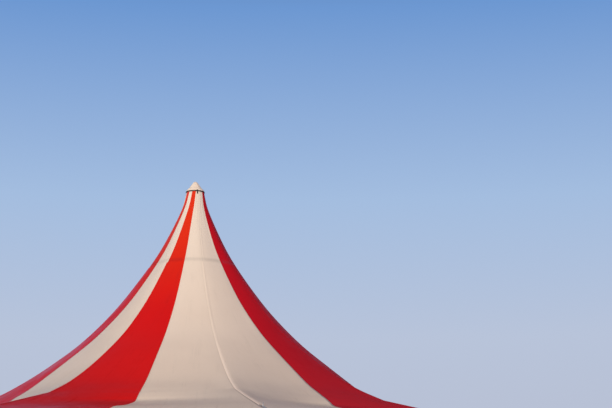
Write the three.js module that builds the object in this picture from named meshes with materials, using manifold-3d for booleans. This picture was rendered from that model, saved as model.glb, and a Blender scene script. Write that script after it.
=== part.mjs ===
// Single pole circus tent with eight ridges and sixteen gores.
// Millimetres, +Z up. The origin is on the ground under the king pole, and the entrance faces -Y.
import * as THREE from "three";
import { mergeVertices } from "three/addons/utils/BufferGeometryUtils.js";
import Module from "manifold-3d";

// Driving dimensions
const RIDGE_COUNT = 8;
const FACE_ANGLE = 360 / RIDGE_COUNT;
const CLEARANCE = 0.3;
// How far a cutting body runs past the face that it opens
const OVERCUT = 100;

const CROWN_RADIUS = 227;
const CROWN_HEIGHT = 9085;
const CROWN_BAND = 24;
const EAVE_RADIUS = 7500;
const EAVE_HEIGHT = 3165;
const VALANCE_DROP = 420;
const FABRIC = 8;

// The roof falls in a hollow curve from the crown to a knee, then in a flat skirt to the eave.
// These are its radii and heights along a ridge.
const ROOF_TOP_RADIUS = 213;
const ROOF_TOP_HEIGHT = CROWN_HEIGHT - CROWN_BAND - CLEARANCE;
const KNEE_RADIUS = 5000;
const KNEE_HEIGHT = 3795;
const ROOF_CURVE_POINTS = [
    [ROOF_TOP_RADIUS, ROOF_TOP_HEIGHT], [280, 8760], [360, 8535], [585, 8050], [890, 7490], [1335, 6820],
    [1890, 6075], [2565, 5355], [3245, 4805], [3815, 4410], [4400, 4065], [KNEE_RADIUS, KNEE_HEIGHT],
];
const CURVE_STEPS = 16;
const SKIRT_STEPS = 5;
const GORE_COLUMNS = 4;

// Sections by radius along a ridge: 0 is a circle, 1 an octagon and more than 1 has faces that sag inwards.
// The faces of the skirt sag between the ridges and are flat again at the side poles.
const SECTION_SHARES = [
    [ROOF_TOP_RADIUS, 0], [900, 0.6], [2500, 0.18], [3200, 0.25], [4700, 1], [KNEE_RADIUS, 1.2], [6000, 2.4],
    [7000, 1], [EAVE_RADIUS, 1],
];

// Every face has a red gore and then a white one, and one face has them the other way round.
// The seam is in the middle of the face, but a little off it in two of them, in degrees.
const TURNED_FACE = 1;
const SEAM_SHIFTS = { 0: -0.7, 1: 3.7 };
// The whole roof is twisted at the crown, less and less down the slope.
const CROWN_TWIST = 16;

const RING = { wall: 12, height: 110, spoke: 14, spokeHeight: 45, spokeRise: 20, spokes: 4 };
const HUB = { radius: 78, bottom: 8900, top: 9070, bore: 9040 };
const CAP = { radius: 228, height: 258, shell: 8, tipShell: 18 };
const CAP_PROFILE = [
    [1, 0], [0.9, 0.16], [0.67, 0.34], [0.53, 0.54], [0.37, 0.73], [0.21, 0.91], [0.09, 0.99], [0, 1],
];
const KING_POLE = { radius: 57 };
const KING_BASE = { side: 520, plate: 15, socket: 12, socketHeight: 160 };

const SIDE_POLE = { at: 7300, radius: 30, plateSide: 180, plate: 8, head: 42, headHeight: 60 };
const PIN = { radius: 10, rise: 75 };
const EAVE_PLATE = { inner: 7250, outer: 7570, width: 60, thickness: 8 };
const ROPE = { radius: 9, from: EAVE_PLATE.outer - 15 };
const RATCHET = { along: 0.68, length: 230, width: 62, depth: 46 };
const STAKE = { at: 9350, height: 240, radius: 16, lean: 12, hook: 150 };

const WALL = { apothem: 6905, thickness: 10 };
const DOORWAY = { halfWidth: 1200, springing: 1700, crown: 2750 };

const wasm = await Module();
wasm.setup();

const red = { color: 0xc01a20, roughness: 0.42, metalness: 0 };
const white = { color: 0xe4d6c4, roughness: 0.45, metalness: 0 };
const blackSteel = { color: 0x1c1b1d, roughness: 0.5, metalness: 0.8 };
const galvanised = { color: 0x9b9fa3, roughness: 0.45, metalness: 0.9 };
const ropeFibre = { color: 0xd9d2c3, roughness: 0.9, metalness: 0 };

const group = new THREE.Group();

function addMesh(name, geometry, look) {
    const mesh = new THREE.Mesh(geometry, new THREE.MeshStandardMaterial(look));
    mesh.name = name;
    group.add(mesh);
    return mesh;
}

const radians = THREE.MathUtils.degToRad;

// Azimuth 0 is the entrance side, -Y, and it grows towards +X.
function turnTo(mesh, azimuth) {
    mesh.rotation.z = radians(azimuth - 90);
}

function ridgeAzimuth(index) {
    return FACE_ANGLE * (index + 0.5);
}

// Closed geometry to solid and back
function toSolid(geometry) {
    const bare = geometry.clone();
    bare.deleteAttribute("normal");
    bare.deleteAttribute("uv");
    const merged = mergeVertices(bare, 1e-3);
    return new wasm.Manifold(new wasm.Mesh({
        numProp: 3,
        vertProperties: new Float32Array(merged.attributes.position.array),
        triVerts: new Uint32Array(merged.index.array),
    }));
}

function toGeometry(solid) {
    const result = solid.getMesh();
    const geometry = new THREE.BufferGeometry();
    geometry.setAttribute("position", new THREE.BufferAttribute(result.vertProperties, 3));
    geometry.setIndex(new THREE.BufferAttribute(result.triVerts, 1));
    return geometry;
}

function joinAll(geometries) {
    return geometries.map(toSolid).reduce((whole, piece) => whole.add(piece));
}

// Simple shapes, all with +Z up
function box(x, y, z, width, depth, height) {
    return new THREE.BoxGeometry(width, depth, height).translate(x, y, z + height / 2);
}

function rod(radius, bottom, top, sides = 12) {
    const height = top - bottom;
    return new THREE.CylinderGeometry(radius, radius, height, sides)
        .rotateX(Math.PI / 2)
        .translate(0, 0, bottom + height / 2);
}

function turned(profile, sides = 64) {
    const points = profile.map(([radius, height]) => new THREE.Vector2(radius, height));
    return new THREE.LatheGeometry(points, sides).rotateX(Math.PI / 2);
}

function scaled(profile, radius, height) {
    return profile.map(([across, up]) => [across * radius, up * height]);
}

// A rod between two points of the XZ plane
function rodBetween(from, to, radius, sides = 8) {
    const axis = new THREE.Vector3().subVectors(to, from);
    const middle = new THREE.Vector3().addVectors(from, to).multiplyScalar(0.5);
    return new THREE.CylinderGeometry(radius, radius, axis.length(), sides)
        .rotateX(Math.PI / 2)
        .rotateY(Math.atan2(axis.x, axis.z))
        .translate(middle.x, middle.y, middle.z);
}

// Roof profile along a ridge, as [radius, height] from the crown to the valance's hem
function ridgeProfile() {
    const points = ROOF_CURVE_POINTS.map(([radius, height]) => new THREE.Vector3(radius, 0, height));
    const curve = new THREE.CatmullRomCurve3(points, false, "centripetal");
    const profile = curve.getPoints(CURVE_STEPS).map((point) => [point.x, point.z]);
    for (let step = 1; step <= SKIRT_STEPS; step += 1) {
        const share = step / SKIRT_STEPS;
        profile.push([
            THREE.MathUtils.lerp(KNEE_RADIUS, EAVE_RADIUS, share),
            THREE.MathUtils.lerp(KNEE_HEIGHT, EAVE_HEIGHT, share),
        ]);
    }
    profile.push([EAVE_RADIUS, EAVE_HEIGHT - VALANCE_DROP]);
    return profile;
}

// Offsets a polyline to its inner side, with mitred corners and level ends
function offsetInward(profile, distance) {
    const normals = profile.slice(1).map(([radius, height], index) => {
        const along = new THREE.Vector2(radius - profile[index][0], height - profile[index][1]).normalize();
        return new THREE.Vector2(along.y, -along.x);
    });
    return profile.map(([radius, height], index) => {
        const before = normals[Math.max(index - 1, 0)];
        const after = normals[Math.min(index, normals.length - 1)];
        if (index === 0) {
            return [radius + distance / after.x, height];
        }
        const mitre = before.clone().add(after);
        const reach = 2 * distance / mitre.lengthSq();
        return [radius + mitre.x * reach, height + mitre.y * reach];
    });
}

// Reads a list of [radius, value] points, which is straight between them
function valueAt(points, radius) {
    const next = points.findIndex(([reach]) => radius <= reach);
    if (next === 0) {
        return points[0][1];
    }
    if (next < 0) {
        return points.at(-1)[1];
    }
    const [low, high] = [points[next - 1], points[next]];
    return THREE.MathUtils.mapLinear(radius, low[0], high[0], low[1], high[1]);
}

function crownTwist(radius) {
    return CROWN_TWIST * (ROOF_TOP_RADIUS / radius) ** 2;
}

// How far the roof reaches at an azimuth, as a share of its reach along the ridges
function sectionShare(azimuth, share) {
    const fromMiddle = THREE.MathUtils.euclideanModulo(azimuth + FACE_ANGLE / 2, FACE_ANGLE) - FACE_ANGLE / 2;
    const flat = Math.cos(radians(FACE_ANGLE / 2)) / Math.cos(radians(fromMiddle));
    return THREE.MathUtils.lerp(1, flat, share);
}

const PROFILE = ridgeProfile();
const PROFILE_INSIDE = offsetInward(PROFILE, FABRIC);
const SKIRT_SLOPE = (KNEE_HEIGHT - EAVE_HEIGHT) / (EAVE_RADIUS - KNEE_RADIUS);
const SKIRT_ANGLE = Math.atan(SKIRT_SLOPE);

function skirtTop(ridgeRadius) {
    return EAVE_HEIGHT + (EAVE_RADIUS - ridgeRadius) * SKIRT_SLOPE;
}

function skirtUnderside(ridgeRadius) {
    return skirtTop(ridgeRadius) - FABRIC / Math.cos(SKIRT_ANGLE);
}

// One gore between two azimuths: the section loop is swept across and closed at both seams
function goreGeometry(start, end) {
    const loop = [...PROFILE, ...PROFILE_INSIDE.slice().reverse()];
    const outerRadii = PROFILE.map(([radius]) => radius);
    const loopRadii = [...outerRadii, ...outerRadii.slice().reverse()];
    const shares = loopRadii.map((radius) => valueAt(SECTION_SHARES, radius));
    const twists = loopRadii.map(crownTwist);
    const positions = [];
    for (let column = 0; column <= GORE_COLUMNS; column += 1) {
        const middle = THREE.MathUtils.lerp(start, end, column / GORE_COLUMNS);
        loop.forEach(([ridgeRadius, height], index) => {
            const inset = THREE.MathUtils.radToDeg(CLEARANCE / 2 / ridgeRadius);
            const azimuth = THREE.MathUtils.clamp(middle, start + inset, end - inset);
            const place = radians(azimuth + twists[index]);
            const radius = ridgeRadius * sectionShare(middle, shares[index]);
            positions.push(radius * Math.sin(place), -radius * Math.cos(place), height);
        });
    }
    const count = loop.length;
    const faces = [];
    for (let column = 0; column < GORE_COLUMNS; column += 1) {
        for (let index = 0; index < count; index += 1) {
            const next = (index + 1) % count;
            const here = column * count;
            const there = here + count;
            faces.push(here + index, here + next, there + next);
            faces.push(here + index, there + next, there + index);
        }
    }
    const far = GORE_COLUMNS * count;
    for (let index = 0; index < PROFILE.length - 1; index += 1) {
        const across = count - 1 - index;
        faces.push(index, across, across - 1, index, across - 1, index + 1);
        faces.push(far + index, far + across - 1, far + across, far + index, far + index + 1, far + across - 1);
    }
    const geometry = new THREE.BufferGeometry();
    geometry.setAttribute("position", new THREE.Float32BufferAttribute(positions, 3));
    geometry.setIndex(faces);
    return geometry;
}

function pinHole(azimuth) {
    return rod(PIN.radius + CLEARANCE, EAVE_HEIGHT - VALANCE_DROP, KNEE_HEIGHT)
        .translate(SIDE_POLE.at, 0, 0)
        .rotateZ(radians(azimuth - 90));
}

function addGores() {
    for (let face = 0; face < RIDGE_COUNT; face += 1) {
        const middle = FACE_ANGLE * face;
        const isTurned = face === TURNED_FACE;
        const seam = middle + (SEAM_SHIFTS[face] ?? 0);
        const edges = [middle - FACE_ANGLE / 2, seam, middle + FACE_ANGLE / 2];
        const holes = toSolid(pinHole(edges[0])).add(toSolid(pinHole(edges[2])));
        [0, 1].forEach((side) => {
            const isRed = (side === 0) !== isTurned;
            const number = String(2 * face + side + 1).padStart(2, "0");
            const gore = toSolid(goreGeometry(edges[side], edges[side + 1])).subtract(holes);
            addMesh(`roof_gore_${number}_${isRed ? "red" : "white"}`, toGeometry(gore), isRed ? red : white);
        });
    }
}

// Crown ring with its spokes and the hub that sits on the king pole
function addCrown() {
    const hoop = ROOF_TOP_RADIUS - FABRIC - 1;
    const ring = turned([
        [hoop - RING.wall, CROWN_HEIGHT - RING.height],
        [hoop, CROWN_HEIGHT - RING.height],
        [hoop, CROWN_HEIGHT - CROWN_BAND],
        [CROWN_RADIUS, CROWN_HEIGHT - CROWN_BAND],
        [CROWN_RADIUS, CROWN_HEIGHT],
        [hoop - RING.wall, CROWN_HEIGHT],
        [hoop - RING.wall, CROWN_HEIGHT - RING.height],
    ]);
    const spokeLength = hoop - RING.wall / 2;
    const spokes = [];
    for (let index = 0; index < RING.spokes; index += 1) {
        const bottom = CROWN_HEIGHT - RING.height + RING.spokeRise;
        spokes.push(box(spokeLength / 2, 0, bottom, spokeLength, RING.spoke, RING.spokeHeight)
            .rotateZ((index * 2 * Math.PI) / RING.spokes));
    }
    const hub = rod(HUB.radius, HUB.bottom, HUB.top, 32);
    const bore = rod(KING_POLE.radius + CLEARANCE, HUB.bottom - OVERCUT, HUB.bore + CLEARANCE, 32);
    addMesh("crown_ring", toGeometry(joinAll([ring, hub, ...spokes]).subtract(toSolid(bore))), blackSteel);

    const outside = scaled(CAP_PROFILE, CAP.radius, CAP.height);
    const inside = scaled(CAP_PROFILE, CAP.radius - CAP.shell, CAP.height - CAP.tipShell).reverse();
    const cap = turned([...outside, ...inside, outside[0]], 40);
    addMesh("crown_cap", cap, white).position.z = CROWN_HEIGHT + CLEARANCE;
}

function addKingPole() {
    const foot = KING_BASE.plate + CLEARANCE;
    addMesh("king_pole", rod(KING_POLE.radius, foot, HUB.bore, 32), galvanised);
    const plate = box(0, 0, 0, KING_BASE.side, KING_BASE.side, KING_BASE.plate);
    const socket = rod(KING_POLE.radius + KING_BASE.socket, 0, KING_BASE.socketHeight, 32);
    const bore = rod(KING_POLE.radius + CLEARANCE, KING_BASE.plate, KING_BASE.socketHeight + OVERCUT, 32);
    addMesh("king_pole_base", toGeometry(joinAll([plate, socket]).subtract(toSolid(bore))), galvanised);
}

// The space over one of the two skirt planes that meet at a ridge, above a side pole
function roofBlock(side, bottomHeight) {
    const fall = Math.atan(SKIRT_SLOPE / Math.cos(radians(FACE_ANGLE / 2)));
    const size = 3 * OVERCUT;
    return new THREE.BoxGeometry(2 * size, 2 * size, size)
        .translate(0, 0, size / 2)
        .rotateY(fall)
        .rotateZ(side * radians(FACE_ANGLE / 2))
        .translate(SIDE_POLE.at, 0, bottomHeight);
}

// A flat bar that lies along the skirt's ridge
function slopeBlock(length, width, thickness, ridgeRadius, bottomHeight) {
    return new THREE.BoxGeometry(length, width, thickness)
        .translate(0, 0, thickness / 2)
        .rotateY(SKIRT_ANGLE)
        .translate(ridgeRadius, 0, bottomHeight);
}

function addSidePoles() {
    const under = skirtUnderside(SIDE_POLE.at) - CLEARANCE;
    const tube = rod(SIDE_POLE.radius, 0, under + OVERCUT).translate(SIDE_POLE.at, 0, 0);
    const head = rod(SIDE_POLE.head, under - SIDE_POLE.headHeight, under + OVERCUT)
        .translate(SIDE_POLE.at, 0, 0);
    const plate = box(SIDE_POLE.at, 0, 0, SIDE_POLE.plateSide, SIDE_POLE.plateSide, SIDE_POLE.plate);
    const above = [-1, 1].map((side) => roofBlock(side, under));
    const pin = rod(PIN.radius, under - SIDE_POLE.headHeight / 2, skirtTop(SIDE_POLE.at) + PIN.rise)
        .translate(SIDE_POLE.at, 0, 0);
    const pole = joinAll([tube, head, plate]).subtract(joinAll(above)).add(toSolid(pin));
    for (let index = 0; index < RIDGE_COUNT; index += 1) {
        turnTo(addMesh(`side_pole_${index + 1}`, toGeometry(pole), galvanised), ridgeAzimuth(index));
    }
}

// Guy from the plate on the ridge's end, over the ratchet, to the stake in the ground
function addGuyRopes() {
    const plateMiddle = (EAVE_PLATE.inner + EAVE_PLATE.outer) / 2;
    const plateBottom = skirtTop(plateMiddle) + CLEARANCE / Math.cos(SKIRT_ANGLE);
    const plateLength = (EAVE_PLATE.outer - EAVE_PLATE.inner) / Math.cos(SKIRT_ANGLE);
    const plate = slopeBlock(plateLength, EAVE_PLATE.width, EAVE_PLATE.thickness, plateMiddle, plateBottom);
    const hole = rod(PIN.radius + CLEARANCE, EAVE_HEIGHT, KNEE_HEIGHT).translate(SIDE_POLE.at, 0, 0);

    const lean = Math.tan(radians(STAKE.lean));
    const top = new THREE.Vector3(ROPE.from, 0, skirtTop(ROPE.from) + EAVE_PLATE.thickness / 2);
    const hook = new THREE.Vector3(STAKE.at + STAKE.hook * lean, 0, STAKE.hook);
    const rope = rodBetween(top, hook, ROPE.radius);
    const ratchet = new THREE.BoxGeometry(RATCHET.depth, RATCHET.width, RATCHET.length);
    const fall = new THREE.Vector3().subVectors(hook, top);
    const at = top.clone().lerp(hook, RATCHET.along);
    ratchet.rotateY(Math.atan2(fall.x, fall.z)).translate(at.x, 0, at.z);

    const below = new THREE.Vector3(STAKE.at - OVERCUT * lean, 0, -OVERCUT);
    const tip = new THREE.Vector3(STAKE.at + STAKE.height * lean, 0, STAKE.height);
    const stake = rodBetween(below, tip, STAKE.radius);
    const ground = box(STAKE.at, 0, -2 * OVERCUT, 4 * OVERCUT, 4 * OVERCUT, 2 * OVERCUT);
    const guy = joinAll([plate, rope, ratchet, stake]).subtract(toSolid(ground)).subtract(toSolid(hole));
    for (let index = 0; index < RIDGE_COUNT; index += 1) {
        turnTo(addMesh(`guy_rope_${index + 1}`, toGeometry(guy), ropeFibre), ridgeAzimuth(index));
    }
}

// A wall fills its face from ground to roof, with mitred ends. Local +X is its outward side.
function wallSolid() {
    const inner = WALL.apothem - WALL.thickness;
    const halfFace = radians(FACE_ANGLE / 2);
    const endGap = CLEARANCE / 2 / Math.cos(halfFace);
    const outerHalf = WALL.apothem * Math.tan(halfFace) - endGap;
    const innerHalf = inner * Math.tan(halfFace) - endGap;
    const plan = new THREE.Shape([
        new THREE.Vector2(inner, -innerHalf),
        new THREE.Vector2(WALL.apothem, -outerHalf),
        new THREE.Vector2(WALL.apothem, outerHalf),
        new THREE.Vector2(inner, innerHalf),
    ]);
    const height = skirtUnderside(WALL.apothem / Math.cos(halfFace)) - 2 * CLEARANCE;
    return toSolid(new THREE.ExtrudeGeometry(plan, { depth: height, bevelEnabled: false }));
}

// The doorway between the drawn halves: upright sides, an arch over them and the slit between the halves
function doorwaySolid() {
    const outline = new THREE.Shape();
    outline.moveTo(-DOORWAY.halfWidth, -OVERCUT);
    outline.lineTo(DOORWAY.halfWidth, -OVERCUT);
    outline.lineTo(DOORWAY.halfWidth, DOORWAY.springing);
    outline.absellipse(
        0, DOORWAY.springing, DOORWAY.halfWidth, DOORWAY.crown - DOORWAY.springing, 0, Math.PI, false,
    );
    const depth = 2 * OVERCUT;
    const arch = new THREE.ExtrudeGeometry(outline, { depth, bevelEnabled: false, curveSegments: 20 })
        .rotateX(Math.PI / 2)
        .rotateZ(Math.PI / 2)
        .translate(WALL.apothem - OVERCUT, 0, 0);
    const slit = box(WALL.apothem, 0, DOORWAY.crown - OVERCUT, depth, CLEARANCE, EAVE_HEIGHT);
    return toSolid(arch).add(toSolid(slit));
}

function addWalls() {
    const wall = wallSolid();
    for (let face = 1; face < RIDGE_COUNT; face += 1) {
        turnTo(addMesh(`side_wall_${face}`, toGeometry(wall), face % 2 ? white : red), FACE_ANGLE * face);
    }
    const halves = wall.subtract(doorwaySolid()).decompose();
    halves.forEach((half) => {
        const side = half.boundingBox().max[1] > 1 ? "right" : "left";
        turnTo(addMesh(`entrance_wall_${side}`, toGeometry(half), red), 0);
    });
}

addGores();
addCrown();
addKingPole();
addSidePoles();
addGuyRopes();
addWalls();

export default group;
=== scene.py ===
"""Looks of the circus big top tent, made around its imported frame. Metres, +Z up."""

import logging
import math
from abc import ABC, abstractmethod
from dataclasses import dataclass, field, replace
from enum import Enum
from functools import cache, partial, reduce
from itertools import accumulate
from operator import matmul
from typing import Callable, Iterable, Sequence

import bmesh
import bpy
from mathutils import Matrix, Vector, noise


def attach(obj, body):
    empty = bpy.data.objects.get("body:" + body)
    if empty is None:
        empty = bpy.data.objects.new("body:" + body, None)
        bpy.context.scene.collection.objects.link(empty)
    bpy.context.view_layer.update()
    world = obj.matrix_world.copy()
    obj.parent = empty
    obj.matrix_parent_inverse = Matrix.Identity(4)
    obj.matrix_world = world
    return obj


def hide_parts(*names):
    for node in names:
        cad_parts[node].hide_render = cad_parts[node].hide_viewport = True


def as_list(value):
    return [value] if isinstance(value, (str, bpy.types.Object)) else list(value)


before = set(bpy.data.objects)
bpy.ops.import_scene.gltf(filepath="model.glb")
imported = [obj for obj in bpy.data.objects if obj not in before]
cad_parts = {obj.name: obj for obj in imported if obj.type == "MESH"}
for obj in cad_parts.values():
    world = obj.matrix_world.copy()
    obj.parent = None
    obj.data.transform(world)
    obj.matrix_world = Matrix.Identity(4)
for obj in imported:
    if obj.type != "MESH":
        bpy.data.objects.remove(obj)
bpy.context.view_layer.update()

BODY = "root"
RIDGES = 8
FACE_ANGLE = 360 / RIDGES
HALF_FACE = math.radians(FACE_ANGLE / 2)
SHARP_EDGE = math.radians(38)
MERGE_DISTANCE = 1e-6
GROUND_GAP = 0.0005
WIRE_SIDES = 12
ALONG = "along"
CLOTH_UV = "cloth"
SEAM_UV = "seam"

Mesh = bmesh.types.BMesh
Corner = bmesh.types.BMLoop
Socket = bpy.types.NodeSocket
Colour = tuple[float, float, float]
Size = tuple[float, float, float]
Point = tuple[float, float]
Profile = tuple[Point, ...]
Chart = Callable[[Corner], Point]

log = logging.getLogger("tent")


class Slot(Enum):
    """Material slots."""

    RED = "red_membrane"
    WHITE = "white_membrane"
    BLACK = "black_steel"
    ZINC = "galvanised_steel"
    ROPE = "guy_rope"


# Plain geometry helpers


def lerp(start: float, end: float, share: float) -> float:
    """Number that lies share of the way from start to end."""
    return start + (end - start) * share


def smooth(share: float) -> float:
    """Smooth step of a share, held between 0 and 1."""
    held = min(max(share, 0.0), 1.0)
    return held * held * (3 - 2 * held)


def shares(count: int) -> list[float]:
    """Shares in equal steps, without 0 and up to 1."""
    return [step / count for step in range(1, count + 1)]


def reading(points: Sequence[Point], place: float) -> float:
    """Value at a place on a smooth line through points, which has no swing between them.

    Args:
        points: Places and values, by place.
        place: Where the value is read.

    Returns:
        The value.
    """
    if not points[0][0] < place < points[-1][0]:
        return points[0][1] if place <= points[0][0] else points[-1][1]
    index = next(number for number, point in enumerate(points) if place <= point[0]) - 1
    slopes = [(high[1] - low[1]) / (high[0] - low[0]) for low, high in zip(points, points[1:])]

    def lean(at: int) -> float:
        """Slope of the line at a point."""
        before, after = slopes[max(at - 1, 0)], slopes[min(at, len(slopes) - 1)]
        return 0.0 if before * after <= 0 else 2 * before * after / (before + after)

    (start, low), (end, high) = points[index], points[index + 1]
    span = end - start
    share = (place - start) / span
    swing = share * (1 - share) * span
    return lerp(low, high, smooth(share)) + swing * (lean(index) * (1 - share) - lean(index + 1) * share)


def through(before: Vector, start: Vector, end: Vector, after: Vector, share: float) -> Vector:
    """Point between start and end on a centripetal spline through four points.

    Args:
        before: First of the four points.
        start: Second point.
        end: Third point.
        after: Last point.
        share: How far the point is on from start to end.

    Returns:
        The point.
    """
    knots = [0.0]
    for first, second in ((before, start), (start, end), (end, after)):
        knots.append(knots[-1] + math.sqrt((second - first).length))
    here = lerp(knots[1], knots[2], share)

    def on_line(first: Vector, second: Vector, low: int, high: int) -> Vector:
        """Point on the line through two points that stand at two knots."""
        return first.lerp(second, (here - knots[low]) / (knots[high] - knots[low]))

    middle = on_line(start, end, 1, 2)
    lower = on_line(on_line(before, start, 0, 1), middle, 0, 2)
    upper = on_line(middle, on_line(end, after, 2, 3), 1, 3)
    return on_line(lower, upper, 1, 2)


def lengths(path: Sequence[Point]) -> list[float]:
    """Distance of each point of a path from its start, along the path."""
    return [0.0, *accumulate(math.dist(start, end) for start, end in zip(path, path[1:]))]


def ruffle(place: Iterable[float], scale: Size, shift: float = 0.0) -> float:
    """Smooth noise at a place.

    Args:
        place: X, Y and Z.
        scale: How fast the noise changes along each of them.
        shift: Move along the scaled Z, which sets two noises apart.

    Returns:
        The noise, between -1 and 1.
    """
    x, y, z = (axis * factor for axis, factor in zip(place, scale))
    return noise.noise(Vector((x, y, z + shift)))


def polar(azimuth: float, radius: float, height: float) -> Vector:
    """Point at an azimuth in degrees, where 0 is the entrance side, -Y, and 90 is +X."""
    turn = math.radians(azimuth)
    return Vector((radius * math.sin(turn), -radius * math.cos(turn), height))


def azimuth_of(point: Vector, start: float) -> float:
    """Azimuth of a point in degrees, counted so that it isn't less than start."""
    turn = math.degrees(math.atan2(point.x, -point.y))
    return (turn - start + 1) % 360 - 1 + start


def ridge_azimuth(index: int) -> float:
    """Azimuth of a ridge in degrees."""
    return FACE_ANGLE * (index + 0.5)


def move_by(x: float = 0.0, y: float = 0.0, z: float = 0.0) -> Matrix:
    """Move along the three axes."""
    return Matrix.Translation((x, y, z))


def turn_by(degrees: float, axis: str) -> Matrix:
    """Turn about an axis."""
    return Matrix.Rotation(math.radians(degrees), 4, axis)


def facing(azimuth: float) -> Matrix:
    """Turn that brings local +X to an azimuth."""
    return turn_by(azimuth - 90, "Z")


def along_line(start: Vector, end: Vector) -> Matrix:
    """Placement that lays +Z along a line in the XZ plane and keeps +Y level.

    Args:
        start: Where the origin goes.
        end: Where +Z points to.

    Returns:
        The placement.
    """
    direction = (end - start).normalized()
    side = Vector((0, 1, 0))
    front = side.cross(direction).normalized()
    return Matrix.Translation(start) @ Matrix((front, side, direction)).transposed().to_4x4()


# Mesh helpers


def chain(bm: Mesh, places: Iterable[Sequence[float]]) -> tuple[list, list]:
    """Adds vertices at places, joined by edges in their order, and gives both."""
    verts = [bm.verts.new(place) for place in places]
    return verts, [bm.edges.new(pair) for pair in zip(verts, verts[1:])]


def bar(size: Sequence[float], bevel: float, centre: Sequence[float] = (0, 0, 0), steps: int = 2) -> Mesh:
    """Makes a bar with rounded edges.

    Args:
        size: Length along X, Y and Z.
        bevel: Radius of the rounded edges.
        centre: Middle of the bar.
        steps: Faces across each rounded edge.

    Returns:
        The bar's mesh.
    """
    bm = bmesh.new()
    bmesh.ops.create_cube(bm, size=1)
    bmesh.ops.scale(bm, vec=size, verts=bm.verts)
    bmesh.ops.bevel(
        bm, geom=bm.edges[:], offset=bevel, segments=steps, profile=0.5, affect="EDGES", material=-1
    )
    bmesh.ops.translate(bm, vec=centre, verts=bm.verts)
    return bm


def turned(profile: Sequence[Point], steps: int, closed: bool = False) -> Mesh:
    """Turns a profile round the Z axis.

    Args:
        profile: Points of radius and height.
        steps: Faces round the axis.
        closed: Whether the last point joins the first one.

    Returns:
        The turned mesh with its faces outwards.
    """
    bm = bmesh.new()
    verts, edges = chain(bm, [(radius, 0, height) for radius, height in profile])
    if closed:
        edges.append(bm.edges.new((verts[-1], verts[0])))
    bmesh.ops.spin(
        bm, geom=verts + edges, cent=(0, 0, 0), axis=(0, 0, 1), angle=math.tau, steps=steps, use_merge=True
    )
    bmesh.ops.remove_doubles(bm, verts=bm.verts, dist=MERGE_DISTANCE)
    bmesh.ops.recalc_face_normals(bm, faces=bm.faces)
    return bm


def hoop(radius: float, thickness: float, steps: int = 32, angle: float = 360.0) -> Mesh:
    """Bends a round wire about the Y axis.

    Args:
        radius: Radius of the wire's centreline.
        thickness: Radius of the wire.
        steps: Steps round the bend.
        angle: How far the wire goes round, in degrees.

    Returns:
        The hoop's mesh, which starts on +X.
    """
    bm = bmesh.new()
    full = angle >= 360
    ring = bmesh.ops.create_circle(bm, cap_ends=not full, radius=thickness, segments=WIRE_SIDES)
    bmesh.ops.translate(bm, vec=(radius, 0, 0), verts=ring["verts"])
    geom = bm.verts[:] + bm.edges[:] + bm.faces[:]
    bmesh.ops.spin(
        bm, geom=geom, cent=(0, 0, 0), axis=(0, 1, 0), angle=-math.radians(angle), steps=steps, use_merge=full
    )
    bmesh.ops.remove_doubles(bm, verts=bm.verts, dist=MERGE_DISTANCE)
    bmesh.ops.recalc_face_normals(bm, faces=bm.faces)
    return bm


def ribbon(path: Sequence[Point], width: float, thickness: float) -> Mesh:
    """Makes a flat strap that follows a path in the XZ plane.

    Args:
        path: Points of X and Z.
        width: Width of the strap along Y.
        thickness: Thickness of the strap.

    Returns:
        The strap's closed mesh with its cloth map.
    """
    bm = bmesh.new()
    along = bm.verts.layers.float.new(ALONG)
    verts, edges = chain(bm, [(x, -width / 2, z) for x, z in path])
    for vert, length in zip(verts, lengths(path)):
        vert[along] = length
    grown = bmesh.ops.extrude_edge_only(bm, edges=edges)["geom"]
    far_side = [part for part in grown if isinstance(part, bmesh.types.BMVert)]
    bmesh.ops.translate(bm, vec=(0, width, 0), verts=far_side)
    bmesh.ops.recalc_face_normals(bm, faces=bm.faces)
    bmesh.ops.solidify(bm, geom=bm.faces[:], thickness=thickness)
    bmesh.ops.recalc_face_normals(bm, faces=bm.faces)
    map_cloth(bm, lambda corner: (corner.vert.co.y, corner.vert[along]))
    return bm


def grid(columns: int, rows: int) -> Mesh:
    """Makes a flat grid of shares, from 0 to 1 across in X and up in Y.

    Args:
        columns: Faces across.
        rows: Faces up.

    Returns:
        The grid.
    """
    bm = bmesh.new()
    bmesh.ops.create_grid(bm, x_segments=columns, y_segments=rows, size=0.5)
    bmesh.ops.translate(bm, vec=(0.5, 0.5, 0), verts=bm.verts)
    return bm


def map_cloth(bm: Mesh, cloth: Chart, seams: Chart | None = None) -> None:
    """Gives a mesh its cloth map, and its seam map where it has seams.

    Args:
        bm: The mesh.
        cloth: Metres across and along the cloth at a face's corner.
        seams: Metres from a face's corner to the cloth's two side edges.
    """
    for name, place in ((CLOTH_UV, cloth), (SEAM_UV, seams)):
        if place is None:
            continue
        layer = bm.loops.layers.uv.new(name)
        for face in bm.faces:
            for corner in face.loops:
                corner[layer].uv = place(corner)


def joined(parts: Iterable[Mesh]) -> Mesh:
    """Puts several meshes into one and frees them.

    Args:
        parts: The meshes.

    Returns:
        The one mesh.
    """
    whole = bmesh.new()
    for part in parts:
        mesh = bpy.data.meshes.new("part")
        part.to_mesh(mesh)
        part.free()
        whole.from_mesh(mesh)
        bpy.data.meshes.remove(mesh)
    return whole


def moved(bm: Mesh, *steps: Matrix) -> Mesh:
    """Applies transforms to a mesh, the last one first, and gives the mesh back."""
    bm.transform(reduce(matmul, steps))
    return bm


def filled(bm: Mesh) -> Mesh:
    """Closes a mesh's open ends and gives the mesh back."""
    bmesh.ops.holes_fill(bm, edges=[edge for edge in bm.edges if edge.is_boundary], sides=0)
    return bm


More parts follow.
